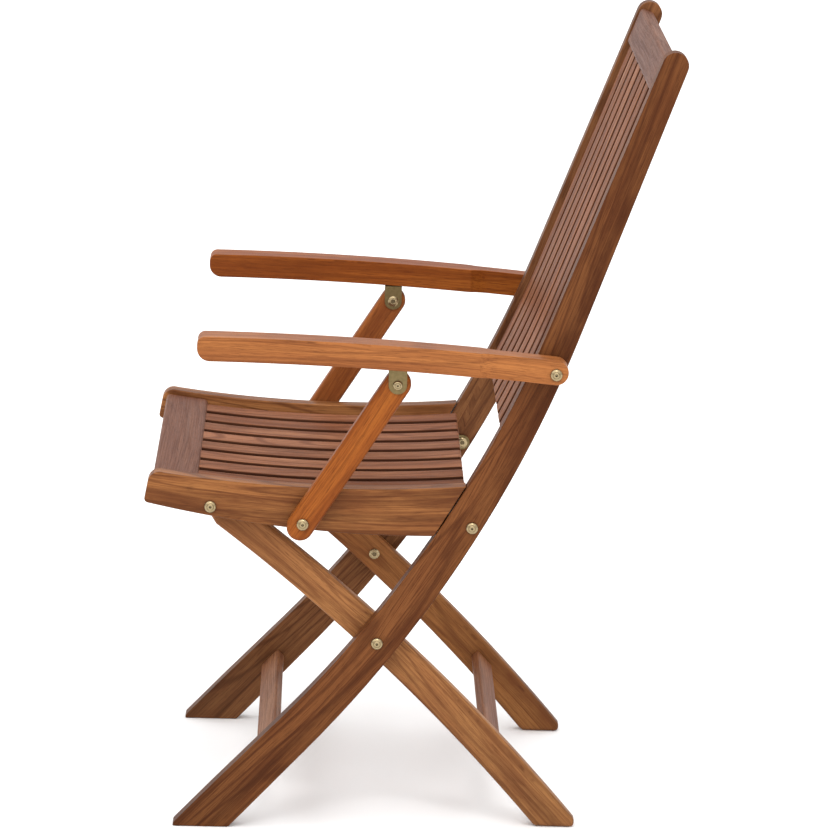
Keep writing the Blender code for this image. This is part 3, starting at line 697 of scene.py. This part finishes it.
def wood(name, colour, contrast=1.0, roughness=0.45, band=1.0, sheen=0.16, flank=0.0, variety=0.16):
    """Oiled hardwood: bands, growth rings, streaks, pores, a tone for each board, painted shade on
    the feet, and with flank a painted highlight on rounded edges and painted shade on the sides.
    """
    material, tree, shader = new_material(name)
    grain = node(tree, "ShaderNodeAttribute", attribute_name="grain").outputs["Vector"]
    tone = node(tree, "ShaderNodeAttribute", attribute_name="tone").outputs["Fac"]
    shift = node(tree, "ShaderNodeCombineXYZ", {
        axis: math(tree, "MULTIPLY", tone, apart)
        for axis, apart in (("X", 5.3), ("Y", 3.7), ("Z", 2.9))}).outputs["Vector"]
    place = vector_sum(tree, grain, shift)
    sway = layer(tree, place, (2.6, 9.0, 9.0), 1.0, 0.55)
    swayed = node(tree, "ShaderNodeCombineXYZ", {
        "Y": math(tree, "MULTIPLY_ADD", sway, 0.016, -0.008),
        "Z": math(tree, "MULTIPLY_ADD", sway, 0.010, -0.005)}).outputs["Vector"]
    bent = vector_sum(tree, place, swayed)
    broad = layer(tree, bent, (1.6, 44.0 * band, 26.0), 2.0, 0.5)
    figure = layer(tree, bent, (1.1, 13.0 * band, 8.0), 1.0, 0.4)
    rings = math(tree, "SINE", math(tree, "MULTIPLY", figure, 120.0))
    bands = layer(tree, bent, (1.6, 330.0, 190.0), 3.0, 0.6)
    streaks = layer(tree, bent, (6.0, 760.0, 520.0), 3.0, 0.65)
    pores = layer(tree, bent, (55.0, 1800.0, 1400.0), 2.0, 0.5)
    cloud = layer(tree, place, (8.0, 30.0, 30.0), 4.0, 0.6)

    base = node(tree, "ShaderNodeValToRGB", {"Fac": broad})
    ramp = base.color_ramp
    ramp.elements[0].position = 0.34
    ramp.elements[0].color = shaded(colour, 1.0 - 0.36 * contrast, 0.90)
    ramp.elements[1].position = 0.66
    ramp.elements[1].color = shaded(colour, 1.0 + 0.36 * contrast, 1.10)
    ramp.elements.new(0.50).color = shaded(colour, 1.0)
    paint = base.outputs["Color"]
    coats = (
        # pattern, its value from and to, strength from and to, lightness and warmth of the coat
        (cloud, 0.44, 0.64, 0.0, 0.45 * contrast, 1.50, 1.16),
        (rings, 0.55, 1.00, 0.0, 0.48 * contrast, 0.46, 0.84),
        (bands, 0.34, 0.50, 0.42 * contrast, 0.0, 0.45, 0.82),
        (bands, 0.56, 0.72, 0.0, 0.28 * contrast, 1.50, 1.14),
        (streaks, 0.36, 0.54, 0.50, 0.0, 0.45, 0.84),
        (pores, 0.56, 0.66, 0.0, 0.55, 0.28, 0.76),
    )
    for pattern, low, high, weak, strong, light, warm in coats:
        paint = mix_colour(tree, remap(tree, pattern, low, high, weak, strong), paint,
                           shaded(colour, light, warm))
    here = node(tree, "ShaderNodeTexCoord").outputs["Object"]
    height = node(tree, "ShaderNodeSeparateXYZ", {"Vector": here}).outputs["Z"]
    # Painted shade: the wood is darkened towards the floor, where the feet get less light.
    painted_foot_shade = remap(tree, height, 0.02, 0.24, 0.76, 1.0)
    value = remap(tree, tone, 0.0, 1.0, 1.0 - variety, 1.0 + variety)
    paint = node(tree, "ShaderNodeHueSaturation", {
        "Color": paint, "Hue": remap(tree, tone, 0.0, 1.0, 0.495, 0.505),
        "Saturation": remap(tree, tone, 0.0, 1.0, 1.06, 0.94),
        "Value": math(tree, "MULTIPLY", painted_foot_shade, value)}).outputs["Color"]
    # Painted highlight where the slats' rounded edges catch the light, then painted shade on their
    # sides, where the gaps between the slats fall dark.
    if flank:
        side = node(tree, "ShaderNodeAttribute", attribute_name="flank").outputs["Fac"]
        paint = mix_colour(tree, remap(tree, side, 0.80, 0.88, 0.0, 0.24), paint,
                           shaded(colour, 1.9, 1.12))
        paint = mix_colour(tree, remap(tree, side, 0.895, 0.955, 0.0, flank), paint,
                           shaded(colour, 0.12, 0.80))
    tree.links.new(paint, shader.inputs["Base Color"])
    tree.links.new(remap(tree, streaks, 0.3, 0.7, roughness + 0.10, roughness - 0.06),
                   shader.inputs["Roughness"])
    relief = math(tree, "MULTIPLY_ADD", streaks, 0.6, math(tree, "MULTIPLY", bands, 0.4))
    pitted = math(tree, "SUBTRACT", relief, remap(tree, pores, 0.56, 0.72, 0.0, 0.6))
    raise_surface(tree, shader, pitted, 0.4, 0.0004)
    shader.inputs["Specular IOR Level"].default_value = sheen
    shader.inputs["Specular Tint"].default_value = (1.0, 0.82, 0.66, 1.0)
    return material


def plating(name, colour, roughness, wear):
    """Yellow zinc plating: metal with cloudy tone, fine scratches and painted shade in its
    recesses.
    """
    material, tree, shader = new_material(name)
    place = node(tree, "ShaderNodeTexCoord").outputs["Object"]
    cloud = noise(tree, place, 260.0, 3.0, 0.6)
    fine = noise(tree, stretched(tree, place, (900.0, 2600.0, 900.0)), 1.0, 2.0)
    tint = mix_colour(tree, remap(tree, cloud, 0.35, 0.65, 0.0, wear), (*colour, 1.0),
                      (colour[0] * 0.62, colour[1] * 0.66, colour[2] * 0.60, 1.0))
    # Painted shade: the foot of a head, its groove, its dimple and a nut's hollow centre are
    # darkened where shade falls.
    recess = node(tree, "ShaderNodeAttribute", attribute_name="recess").outputs["Fac"]
    shade_colour = (0.050, 0.034, 0.018, 1.0)
    shaded_plating = mix_colour(tree, math(tree, "MULTIPLY", recess, 0.85), tint, shade_colour)
    tree.links.new(shaded_plating, shader.inputs["Base Color"])
    tree.links.new(remap(tree, fine, 0.3, 0.7, roughness - 0.06, roughness + 0.10),
                   shader.inputs["Roughness"])
    shader.inputs["Metallic"].default_value = 1.0
    raise_surface(tree, shader, fine, 0.15, 0.0001)
    return material


def finish(name):
    """The chair's materials, each made once and named apart from the slots."""
    slot, name = name, "finish_" + name
    ready = bpy.data.materials.get(name)
    if ready:
        return ready
    colours = bpy.context.scene.chair_colours
    recipes = {
        "back_rail": lambda: wood(
            name, colours.back_rail, contrast=1.35, roughness=0.46, band=0.8, sheen=0.12),
        "arm": lambda: wood(name, colours.arm, contrast=0.75, roughness=0.42),
        "leg": lambda: wood(name, colours.leg, contrast=1.1, roughness=0.46, band=0.8),
        "seat_rail": lambda: wood(
            name, colours.seat_rail, contrast=1.45, roughness=0.42, band=1.3),
        "slat": lambda: wood(
            name, colours.slat, contrast=1.9, roughness=0.46, band=1.2, sheen=0.03, flank=0.90,
            variety=0.40),
        "board": lambda: wood(
            name, colours.board, contrast=0.6, roughness=0.42, band=0.6, sheen=0.06),
        "stretcher": lambda: wood(
            name, colours.stretcher, contrast=0.6, roughness=0.46, sheen=0.10),
        "fastener": lambda: plating(name, colours.brass, roughness=0.22, wear=0.28),
        "bracket": lambda: plating(name, colours.strap, roughness=0.38, wear=0.5),
    }
    return recipes[slot]()


# ---- geometry node trees

def new_tree(name, inputs, output):
    """A geometry node tree with inputs as (name, kind, default), and the sockets that give them."""
    tree = bpy.data.node_groups.new(name, "GeometryNodeTree")
    for label, kind, value in inputs:
        made = tree.interface.new_socket(label, in_out="INPUT", socket_type="NodeSocket" + kind)
        if value is not None:
            made.default_value = value
    tree.interface.new_socket(output, in_out="OUTPUT", socket_type="NodeSocketGeometry")
    return tree, node(tree, "NodeGroupInput").outputs


def end_tree(tree, instances, material, output):
    """Realize the instances, give them their material and hand them out."""
    real = node(tree, "GeometryNodeRealizeInstances", {"Geometry": instances})
    painted = node(tree, "GeometryNodeSetMaterial", {
        "Geometry": real.outputs["Geometry"], "Material": material})
    node(tree, "NodeGroupOutput", {output: painted.outputs["Geometry"]})


def run_tree(piece, tree, values):
    """Give a piece a node tree, set its inputs by identifier, and keep the result as a mesh."""
    modifier = piece.modifiers.new(tree.name, "NODES")
    modifier.node_group = tree
    for item in tree.interface.items_tree:
        if item.item_type == "SOCKET" and item.in_out == "INPUT" and item.name in values:
            modifier[item.identifier] = values[item.name]
    settle(piece)


def slat_row_tree():
    """Repeats a slat across the chair, with a tone of its own for each one."""
    tree = bpy.data.node_groups.get("slat_row")
    if tree:
        return tree
    tree, given = new_tree("slat_row", (
        ("Slat", "Geometry", None), ("Count", "Int", 8), ("Pitch", "Float", 0.054),
        ("Seed", "Int", 1), ("Finish", "Material", None)), "Slats")
    last = math(tree, "SUBTRACT", given["Count"], 1.0)
    start = math(tree, "MULTIPLY", math(tree, "MULTIPLY", last, given["Pitch"]), -0.5)
    first = node(tree, "ShaderNodeCombineXYZ", {"X": start}).outputs[0]
    step = node(tree, "ShaderNodeCombineXYZ", {"X": given["Pitch"]}).outputs[0]
    line = node(tree, "GeometryNodeMeshLine", {
        "Count": given["Count"], "Start Location": first, "Offset": step}, mode="OFFSET")
    spread = node(tree, "GeometryNodeInstanceOnPoints", {
        "Points": line.outputs["Mesh"], "Instance": given["Slat"]})
    draw = node(tree, "FunctionNodeRandomValue", {"Seed": given["Seed"]}, data_type="FLOAT")
    toned = node(tree, "GeometryNodeStoreNamedAttribute", {
        "Geometry": spread.outputs["Instances"], "Name": "tone", "Value": draw.outputs[1]},
        data_type="FLOAT", domain="INSTANCE")
    end_tree(tree, toned.outputs["Geometry"], given["Finish"], "Slats")
    return tree


def bolt_set_tree():
    """Puts a bolt head at each point, facing the way that the point's attribute says."""
    tree = bpy.data.node_groups.get("bolt_set")
    if tree:
        return tree
    tree, given = new_tree("bolt_set", (
        ("Places", "Geometry", None), ("Head", "Object", None), ("Turn", "Float", 1.0),
        ("Seed", "Int", 3), ("Finish", "Material", None)), "Bolts")
    head = node(tree, "GeometryNodeObjectInfo", {"Object": given["Head"]})
    half_turn, size = (
        node(tree, "GeometryNodeInputNamedAttribute", {"Name": name}, data_type="FLOAT")
        for name in ("half_turn", "head_size"))
    draw = node(tree, "FunctionNodeRandomValue", {3: given["Turn"], "Seed": given["Seed"]},
                data_type="FLOAT")
    spin = node(tree, "ShaderNodeCombineXYZ", {"X": draw.outputs[1], "Z": half_turn.outputs[0]})
    spread = node(tree, "GeometryNodeInstanceOnPoints", {
        "Points": given["Places"], "Instance": head.outputs["Geometry"],
        "Rotation": spin.outputs[0], "Scale": size.outputs[0]})
    end_tree(tree, spread.outputs["Instances"], given["Finish"], "Bolts")
    return tree


# ---- operators

class ChairOperator(Operator):
    """Shared settings of the chair's operators."""

    bl_options = {"REGISTER", "UNDO"}


class CHAIR_OT_back_rails(ChairOperator):
    """Build the two long back rails, which run from the front feet to the top"""

    bl_idname = "chair.back_rails"
    bl_label = "Back rails"

    def execute(self, context):
        sizes = context.scene.chair_sizes
        for label, side in SIDES:
            name = "back_rail_" + label
            piece = board("rail_board_" + label, back_rail_outline(), side * RAIL_IN,
                          side * RAIL_OUT, finish("back_rail"), rail_line(),
                          sizes.board_rounding, name, cutters=drills(CROSS, STAY, ELBOW))
            hand_over(piece, "back_frame", "back_rail", name)
        return {"FINISHED"}


class CHAIR_OT_back_boards(ChairOperator):
    """Build the top board, the lower cross rail and the front stretcher"""

    bl_idname = "chair.back_boards"
    bl_label = "Back boards"

    def execute(self, context):
        top_s = rail_length_at(BACK_BOARD_LOW_Z)
        top = back_strip(top_s, top_s + BACK_BOARD_WIDTH, BACK_BOARD_DEPTH, BACK_BOARD_THICK, 6)
        piece = board("top_board", top, -BOARD_END, BOARD_END, finish("board"), rail_line(), 0.004,
                      "top", crosswise=True)
        hand_over(piece, "back_frame", "board", "back_top_board")

        low_s = rail_length_at(BACK_SLAT_LOW_Z)
        behind = BACK_SLAT_DEPTH + BACK_SLAT_THICK + FIT
        start, stop = (low_s + at for at in LOWER_RAIL)
        lower = back_strip(start, stop, behind, LOWER_RAIL_THICK, 8)
        piece = board("lower_cross_rail", lower, -BOARD_END, BOARD_END, finish("back_rail"),
                      rail_line(), 0.003, "lower", crosswise=True)
        hand_over(piece, "back_frame", "back_rail", "back_lower_rail")

        at = FRONT_STRETCHER_AT
        middle = rail_edge(at, rail_half(at) + FRONT_STRETCHER_BEHIND)
        bar = crossbar_outline(middle, rail_centre(at)[2], FRONT_STRETCHER_WIDTH, STRETCHER_THICK)
        piece = board("front_bar", bar, -BOARD_END, BOARD_END, finish("stretcher"), rail_line(),
                      0.003, "front", crosswise=True)
        hand_over(piece, "back_frame", "stretcher", "front_stretcher")
        return {"FINISHED"}


def slat_row(name, outline, line, seed):
    """One slat's mesh, repeated across the chair by the node tree."""
    sizes = bpy.context.scene.chair_sizes
    piece = board(name, outline, -sizes.slat_width / 2, sizes.slat_width / 2, finish("slat"), line,
                  sizes.slat_rounding, name)
    piece.data.attributes.remove(piece.data.attributes["tone"])
    run_tree(piece, slat_row_tree(), {
        "Count": sizes.slat_count, "Pitch": sizes.slat_pitch, "Seed": seed,
        "Finish": finish("slat")})
    return piece


class CHAIR_OT_slats(ChairOperator):
    """Build the seat's slats and the back's slats with the slat row tree"""

    bl_idname = "chair.slats"
    bl_label = "Slats"

    def execute(self, context):
        low_s = rail_length_at(BACK_SLAT_LOW_Z)
        top_s = rail_length_at(BACK_BOARD_LOW_Z) + SLAT_TENON
        back = back_strip(low_s, top_s, BACK_SLAT_DEPTH, BACK_SLAT_THICK)
        piece = slat_row("back_slats", back, rail_line(), 5)
        names = ["back_slat_%d" % (k + 1) for k in range(context.scene.chair_sizes.slat_count)]
        hand_over(piece, "back_frame", "slat", *names)
        tip_y = BOARD_REAR_Y - SLAT_TENON
        seat = seat_strip(tip_y, SEAT_REAR_Y, SLAT_DROP, SLAT_THICK)
        seat[-1] = (tip_y, seat_top(tip_y, SLAT_DROP + SLAT_THICK - SLAT_END_RISE))
        piece = slat_row("seat_slats", seat, seat_line(), 11)
        names = ["seat_slat_%d" % (k + 1) for k in range(context.scene.chair_sizes.slat_count)]
        hand_over(piece, "seat", "slat", *names)
        return {"FINISHED"}


class CHAIR_OT_leg_frame(ChairOperator):
    """Build the two legs and the stretcher between them"""

    bl_idname = "chair.leg_frame"
    bl_label = "Leg frame"

    def execute(self, context):
        sizes = context.scene.chair_sizes
        for label, side in SIDES:
            piece = board("leg_board_" + label, leg_outline(), side * LEG_IN, side * LEG_OUT,
                          finish("leg"), leg_line(), sizes.board_rounding, "leg" + label,
                          cutters=drills(CROSS, TOE))
            hand_over(piece, "leg_frame", "leg", "leg_" + label)
        y, z, heading = leg_centre(REAR_STRETCHER_AT)
        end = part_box("rear_stretcher")[1].x
        bar = crossbar_outline((y, z), heading, REAR_STRETCHER_WIDTH, STRETCHER_THICK)
        piece = board("rear_bar", bar, -end, end, finish("stretcher"), leg_line(), 0.003, "rear",
                      crosswise=True)
        hand_over(piece, "leg_frame", "stretcher", "rear_stretcher")
        return {"FINISHED"}


class CHAIR_OT_seat_frame(ChairOperator):
    """Build the seat's side rails, front board and battens"""

    bl_idname = "chair.seat_frame"
    bl_label = "Seat frame"

    def execute(self, context):
        sizes = context.scene.chair_sizes
        for label, side in SIDES:
            piece = board("seat_side_" + label, seat_rail_outline(), side * RAIL_IN,
                          side * RAIL_OUT, finish("seat_rail"), seat_line(),
                          sizes.board_rounding, "seat" + label, cutters=drills(TOE, KNEE))
            hand_over(piece, "seat", "seat_rail", "seat_rail_" + label)
        under = SLAT_DROP + SLAT_THICK + FIT
        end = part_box("seat_batten_front")[1].x
        plans = (
            ("front_edge_board", "seat_front_board", (SEAT_FRONT_Y + BOARD_INSET, BOARD_REAR_Y),
             BOARD_DROP, BOARD_THICK, BOARD_END, 0.005),
            ("front_batten", "seat_batten_front", FRONT_BATTEN, under, BATTEN_THICK, end, 0.002),
            ("rear_batten", "seat_batten_rear", REAR_BATTEN, under, BATTEN_THICK, BOARD_END, 0.002),
        )
        for name, stands_for, (front, rear), drop, thick, half, rounding in plans:
            strip = seat_strip(front, rear, drop, thick, 8)
            piece = board(name, strip, -half, half, finish("board"), seat_line(), rounding, name,
                          crosswise=True)
            hand_over(piece, "seat", "board", stands_for)
        return {"FINISHED"}


class CHAIR_OT_arms(ChairOperator):
    """Build the arms and the supports that hold them up"""

    bl_idname = "chair.arms"
    bl_label = "Arms and supports"

    def execute(self, context):
        behind, above, below = 0.3, 0.70, 0.45    # well beyond the arms
        near = ARM_WAIST_INNER - ARM_WAIST_RADIUS
        waist = arc((near, ARM_WAIST_Y + ARM_WAIST_RADIUS), ARM_WAIST_RADIUS, 0.0, -pi / 2, 16)
        waist += [(near, behind), (ARM_WAIST_INNER, behind)]
        far = ARM_REAR_OUTER + ARM_SCOOP_RADIUS
        scoop = arc((far, ARM_SCOOP_Y), ARM_SCOOP_RADIUS, -pi / 2, -pi, 40)
        scoop += [(ARM_REAR_OUTER, behind), (far, behind)]
        for label, side in SIDES:
            blocks = [prism([(side * x, y) for x, y in plan], below, above, axis="Z")
                      for plan in (waist, scoop)]
            piece = board("arm_board_" + label, arm_outline(), side * ARM_IN, side * ARM_OUT,
                          finish("arm"), arm_line(), ARM_ROUNDING, "arm" + label,
                          cutters=drills(ELBOW), shaping=blocks)
            hand_over(piece, "arm_" + label, "arm", "arm_" + label)
            down = (Vector(KNEE) - Vector(BRACKET)).normalized()
            bar = bar_between(BRACKET, Vector(KNEE) + down * SUPPORT_TAIL, SUPPORT_HALF_WIDTH)
            piece = board("support_bar_" + label, bar,
                          side * SUPPORT_IN, side * SUPPORT_OUT, finish("arm"),
                          straight_line(KNEE, BRACKET), SUPPORT_ROUNDING,
                          "support" + label, cutters=drills(BRACKET, KNEE))
            hand_over(piece, "arm_support_" + label, "arm", "arm_support_" + label)
        return {"FINISHED"}


class CHAIR_OT_metalwork(ChairOperator):
    """Build the strap brackets under the arms and the stay links"""

    bl_idname = "chair.metalwork"
    bl_label = "Brackets and links"

    def execute(self, context):
        outer = SUPPORT_OUT + FIT + STRAP_THICK
        inner = SUPPORT_IN - FIT - STRAP_THICK
        y, z = BRACKET
        high = arm_low(y + STRAP_HALF_WIDTH) - FIT
        tab = arc((y, z), STRAP_HALF_WIDTH, 0.0, -pi, 24)
        tab += [(y - STRAP_HALF_WIDTH, high), (y + STRAP_HALF_WIDTH, high)]
        top = high - STRAP_THICK
        reach, bottom = 0.02, 0.50                # well beyond the strap
        room = [(y - reach, bottom), (y + reach, bottom), (y + reach, top), (y - reach, top)]
        flat = bar_between(STAY, KNEE, LINK_HALF_WIDTH)
        for label, side in SIDES:
            strap = mesh_object("strap_" + label, prism(tab, side * inner, side * outer))
            low_x, high_x = sorted((side * (SUPPORT_IN - FIT), side * (SUPPORT_OUT + FIT)))
            take_away(strap, [prism(room, low_x, high_x)])
            self.dress(strap, STRAP_ROUNDING, BRACKET)
            hand_over(strap, "arm_" + label, "bracket", "arm_bracket_" + label)

            low_x, high_x = sorted((side * LINK_IN, side * LINK_OUT))
            link = mesh_object("link_" + label, prism(flat, low_x, high_x))
            self.dress(link, LINK_ROUNDING, STAY, KNEE)
            hand_over(link, "stay_link_" + label, "bracket", "stay_link_" + label)
        return {"FINISHED"}

    @staticmethod
    def dress(piece, rounding, *pivots):
        round_edges(piece, rounding, 2)
        take_away(piece, drills(*pivots))
        shade(piece)
        piece.data.materials.append(finish("bracket"))


def head_mesh():
    """A domed bolt head on the YZ plane, facing +X, with a turned groove and a dimple."""
    dimple = bpy.context.scene.chair_sizes.dimple_across / 2 / CAP_RADIUS
    rim = [(0.0, 0.0), (0.0, 0.93), (0.05, 0.985), (0.12, 1.0), (0.26, 1.0), (0.40, 0.985)]
    dome = [(0.56, 0.93), (0.70, 0.84), (0.80, 0.74), (0.86, 0.66), (0.88, 0.62)]
    groove = [(0.83, 0.585), (0.83, 0.53), (0.90, 0.50)]
    crown = [(0.95, 0.44), (0.98, 0.37), (1.0, dimple + 0.06), (0.98, dimple)]
    hollow = [(0.72, dimple * 0.88), (0.58, dimple * 0.55), (0.54, 0.0)]
    profile = rim + dome + groove + crown + hollow
    rings = [(CAP_HEIGHT * height, CAP_RADIUS * width) for height, width in profile]
    return lathe((0.0, 0.0), rings, sides=HEAD_ROUND)


def mark_recesses(piece, shade_at, pivot=(0.0, 0.0)):
    """Store how much painted shade each point of a turned piece gets, from its height and radius.
    """
    marks = []
    for vertex in piece.data.vertices:
        radius = Vector((vertex.co.y - pivot[0], vertex.co.z - pivot[1])).length
        marks.append(shade_at(vertex.co.x / CAP_HEIGHT, radius / CAP_RADIUS))
    store(piece.data, "recess", marks)


def head_soiling(height, width):
    """Painted shade: dark at the foot of a head and on its dimple's wall, fainter in its groove."""
    if 0.50 < width < 0.60:
        return 0.4
    at_foot = height < 0.30 and width > 0.9
    on_wall = height < 0.80 and 0.05 < width < 0.30
    return 1.0 if at_foot or on_wall else 0.0


def nut_soiling(_height, width):
    # Painted shade at the centre of a shank's end, where a nut or a tail is hollow.
    return 0.9 if width < 0.34 else 0.0


BOLT_PLANS = (
    # body, node, pivot, face under the head, facing, head size, end of the shank, tail's height
    ("back_frame", "cross_bolt_{}", CROSS, RAIL_OUT + FIT, 1, 1.0, LEG_IN - FIT, NUT_HEIGHT),
    ("back_frame", "stay_bolt_{}", STAY, RAIL_OUT + FIT, 1, 1.0, LINK_IN - FIT, NUT_HEIGHT),
    ("back_frame", "arm_bolt_{}", ELBOW, ARM_REAR_OUTER + FIT, 1, 1.0, RAIL_IN - FIT, NUT_HEIGHT),
    ("leg_frame", "leg_pin_{}", TOE, LEG_IN - FIT, -1, 1.0, LEG_OUT, 0.0),
    ("seat", "seat_bolt_{}", TOE, RAIL_OUT + FIT, 1, 1.0, RAIL_IN - 0.0020, 0.0),
    ("arm_{}", "bracket_rivet_{}", BRACKET, SUPPORT_OUT + 2 * FIT + STRAP_THICK, 1,
     RIVET_RADIUS / CAP_RADIUS, SUPPORT_IN - 2 * FIT - STRAP_THICK, RIVET_TAIL_HEIGHT),
    ("arm_support_{}", "support_bolt_{}", KNEE, SUPPORT_OUT + FIT, 1, 1.0, SUPPORT_IN + FIT, 0.0),
)


def heads_by_body():
    """The head places, as (point, turn about Z, size), gathered by body."""
    found = {}
    for body, _node, pivot, face, facing, size, _tip, _tail in BOLT_PLANS:
        for label, side in SIDES:
            turn = 0.0 if side * facing > 0 else pi
            place = ((side * face, pivot[0], pivot[1]), turn, size)
            found.setdefault(body.format(label), []).append(place)
    return found


class CHAIR_OT_bolt_heads(ChairOperator):
    """Put the bolt heads on with the bolt set tree, one mesh for each body"""

    bl_idname = "chair.bolt_heads"
    bl_label = "Bolt heads"

    def execute(self, context):
        head = mesh_object("head_pattern", head_mesh())
        head.data.shade_smooth()
        head.data.set_sharp_from_angle(angle=radians(34))
        mark_recesses(head, head_soiling)
        for body, plans in heads_by_body().items():
            places = bpy.data.meshes.new("places")
            places.from_pydata([place for place, _turn, _size in plans], [], [])
            store(places, "half_turn", [turn for _place, turn, _size in plans])
            store(places, "head_size", [size for _place, _turn, size in plans])
            piece = bpy.data.objects.new("bolt_heads_" + body, places)
            context.collection.objects.link(piece)
            run_tree(piece, bolt_set_tree(), {"Head": head, "Turn": 1.0, "Seed": 3,
                                              "Finish": finish("fastener")})
            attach(piece, body)
        bpy.data.meshes.remove(head.data)
        return {"FINISHED"}


class CHAIR_OT_shanks(ChairOperator):
    """Turn the shanks, nuts, washers, spacers and knee pins"""

    bl_idname = "chair.shanks"
    bl_label = "Shanks and washers"

    def execute(self, context):
        for body, name, pivot, face, facing, _size, tip, tail in BOLT_PLANS:
            profile = [(tip, 0.0), (tip, SHANK_RADIUS)]
            if tail:
                profile = [(tip - tail + NUT_HEIGHT * height, CAP_RADIUS * width)
                           for height, width in NUT_PROFILE]
                profile += [(tip, CAP_RADIUS * NUT_PROFILE[-1][1]), (tip, SHANK_RADIUS)]
            start = face - facing * 0.00005       # just inside the head
            profile += [(start, SHANK_RADIUS), (start, 0.0)]
            for label, side in SIDES:
                piece = self.turn("shank_" + name.format(label), lathe(pivot, profile, side),
                                  body.format(label), name.format(label))
                mark_recesses(piece, nut_soiling, pivot)

        rings = (
            ("back_frame", "cross_washer_{}", CROSS, LEG_OUT + FIT, RAIL_IN - FIT),
            ("back_frame", "arm_spacer_{}", ELBOW, RAIL_OUT + FIT, ARM_WAIST_INNER - FIT),
            ("seat", "seat_washer_{}", TOE, RAIL_IN - FIT - SEAT_WASHER_THICK, RAIL_IN - FIT),
        )
        inner, outer = SHANK_RADIUS + FIT, WASHER_RADIUS - WASHER_CHAMFER
        for body, name, pivot, low, high in rings:
            profile = [(low, inner), (high, inner), (high, outer),
                       (high - WASHER_CHAMFER, WASHER_RADIUS),
                       (low + WASHER_CHAMFER, WASHER_RADIUS), (low, outer)]
            for label, side in SIDES:
                self.turn("ring_" + name.format(label), lathe(pivot, profile, side, closed=True),
                          body.format(label), name.format(label))

        knee = [(LINK_IN - FIT - height, radius) for height, radius in KNEE_HEAD]
        knee += [(LINK_IN - FIT, SHANK_RADIUS), (RAIL_OUT + FIT, SHANK_RADIUS),
                 (RAIL_OUT + FIT, WASHER_RADIUS), (SUPPORT_IN - FIT, WASHER_RADIUS),
                 (SUPPORT_IN - FIT, 0.0)]
        for label, side in SIDES:
            self.turn("pin_knee_" + label, lathe(KNEE, knee, side), "seat", "knee_pin_" + label)
        return {"FINISHED"}

    @staticmethod
    def turn(name, bm, body, stands_for):
        piece = mesh_object(name, bm)
        shade(piece)
        piece.data.materials.append(finish("fastener"))
        hand_over(piece, body, "fastener", stands_for)
        return piece


class CHAIR_OT_stage(ChairOperator):
    """Build the pale floor, the soft light and the camera"""

    bl_idname = "chair.stage"
    bl_label = "Floor, light and camera"

    def execute(self, context):
        half = FLOOR_HALF
        square = [(-half, -half), (half, -half), (half, half), (-half, half)]
        floor = mesh_object("floor", prism(square, -0.01, FLOOR_TOP, axis="Z"))
        material, _tree, shader = new_material("floor")
        shader.inputs["Base Color"].default_value = (0.93, 0.93, 0.93, 1.0)
        shader.inputs["Roughness"].default_value = 0.9
        shader.inputs["Specular IOR Level"].default_value = 0.0
        floor.data.materials.append(material)

        world = bpy.data.worlds.new("studio")
        context.scene.world = world
        world.use_nodes = True
        background = world.node_tree.nodes["Background"]
        background.inputs["Color"].default_value = (1.0, 1.0, 1.0, 1.0)
        self.sky(world.node_tree, background)
        for plan in SUNS:
            self.sun(*plan)
        context.scene.view_settings.view_transform = "Standard"

        data = bpy.data.cameras.new("camera")
        data.lens = CAMERA_LENS
        camera = bpy.data.objects.new("camera", data)
        context.collection.objects.link(camera)
        right = Vector(CAMERA_RIGHT)
        back = Vector(CAMERA_BACK).normalized()
        up = back.cross(right).normalized()
        turn = Matrix((right.normalized(), up, back)).transposed()
        camera.matrix_world = Matrix.Translation(CAMERA_PLACE) @ turn.to_4x4()
        context.scene.camera = camera
        return {"FINISHED"}

    @staticmethod
    def sky(tree, background):
        """A white room, brighter overhead than at the walls."""
        way = node(tree, "ShaderNodeTexCoord").outputs["Generated"]
        height = node(tree, "ShaderNodeSeparateXYZ", {"Vector": way}).outputs["Z"]
        tree.links.new(remap(tree, height, *SKY_STRENGTH), background.inputs["Strength"])

    @staticmethod
    def sun(name, place, spread, power):
        """A broad, even light from the direction of a place."""
        light = bpy.data.lights.new(name, "SUN")
        light.angle = radians(spread)
        light.energy = power
        lamp = bpy.data.objects.new(name, light)
        bpy.context.collection.objects.link(lamp)
        lamp.location = place
        lamp.rotation_euler = Vector(place).to_track_quat("Z", "Y").to_euler()


BUILD_ORDER = (
    CHAIR_OT_back_rails, CHAIR_OT_back_boards, CHAIR_OT_slats, CHAIR_OT_leg_frame,
    CHAIR_OT_seat_frame, CHAIR_OT_arms, CHAIR_OT_metalwork, CHAIR_OT_bolt_heads,
    CHAIR_OT_shanks, CHAIR_OT_stage,
)


class CHAIR_PT_panel(Panel):
    """Lists the chair's building steps and its sizes and colours"""

    bl_idname = "CHAIR_PT_panel"
    bl_label = "Garden armchair"
    bl_space_type = "VIEW_3D"
    bl_region_type = "UI"
    bl_category = "Armchair"

    def draw(self, context):
        layout = self.layout
        for step in BUILD_ORDER:
            layout.operator(step.bl_idname)
        for settings in (context.scene.chair_sizes, context.scene.chair_colours):
            box = layout.box()
            for key in settings.__annotations__:
                box.prop(settings, key)


CLASSES = (ChairSizes, ChairColours) + BUILD_ORDER + (CHAIR_PT_panel,)


def register():
    for cls in CLASSES:
        bpy.utils.register_class(cls)
    bpy.types.Scene.chair_sizes = PointerProperty(type=ChairSizes)
    bpy.types.Scene.chair_colours = PointerProperty(type=ChairColours)


def unregister():
    del bpy.types.Scene.chair_colours
    del bpy.types.Scene.chair_sizes
    for cls in reversed(CLASSES):
        bpy.utils.unregister_class(cls)


def main():
    register()
    for step in BUILD_ORDER:
        group, action = step.bl_idname.split(".")
        getattr(getattr(bpy.ops, group), action)()


if __name__ == "__main__":
    main()
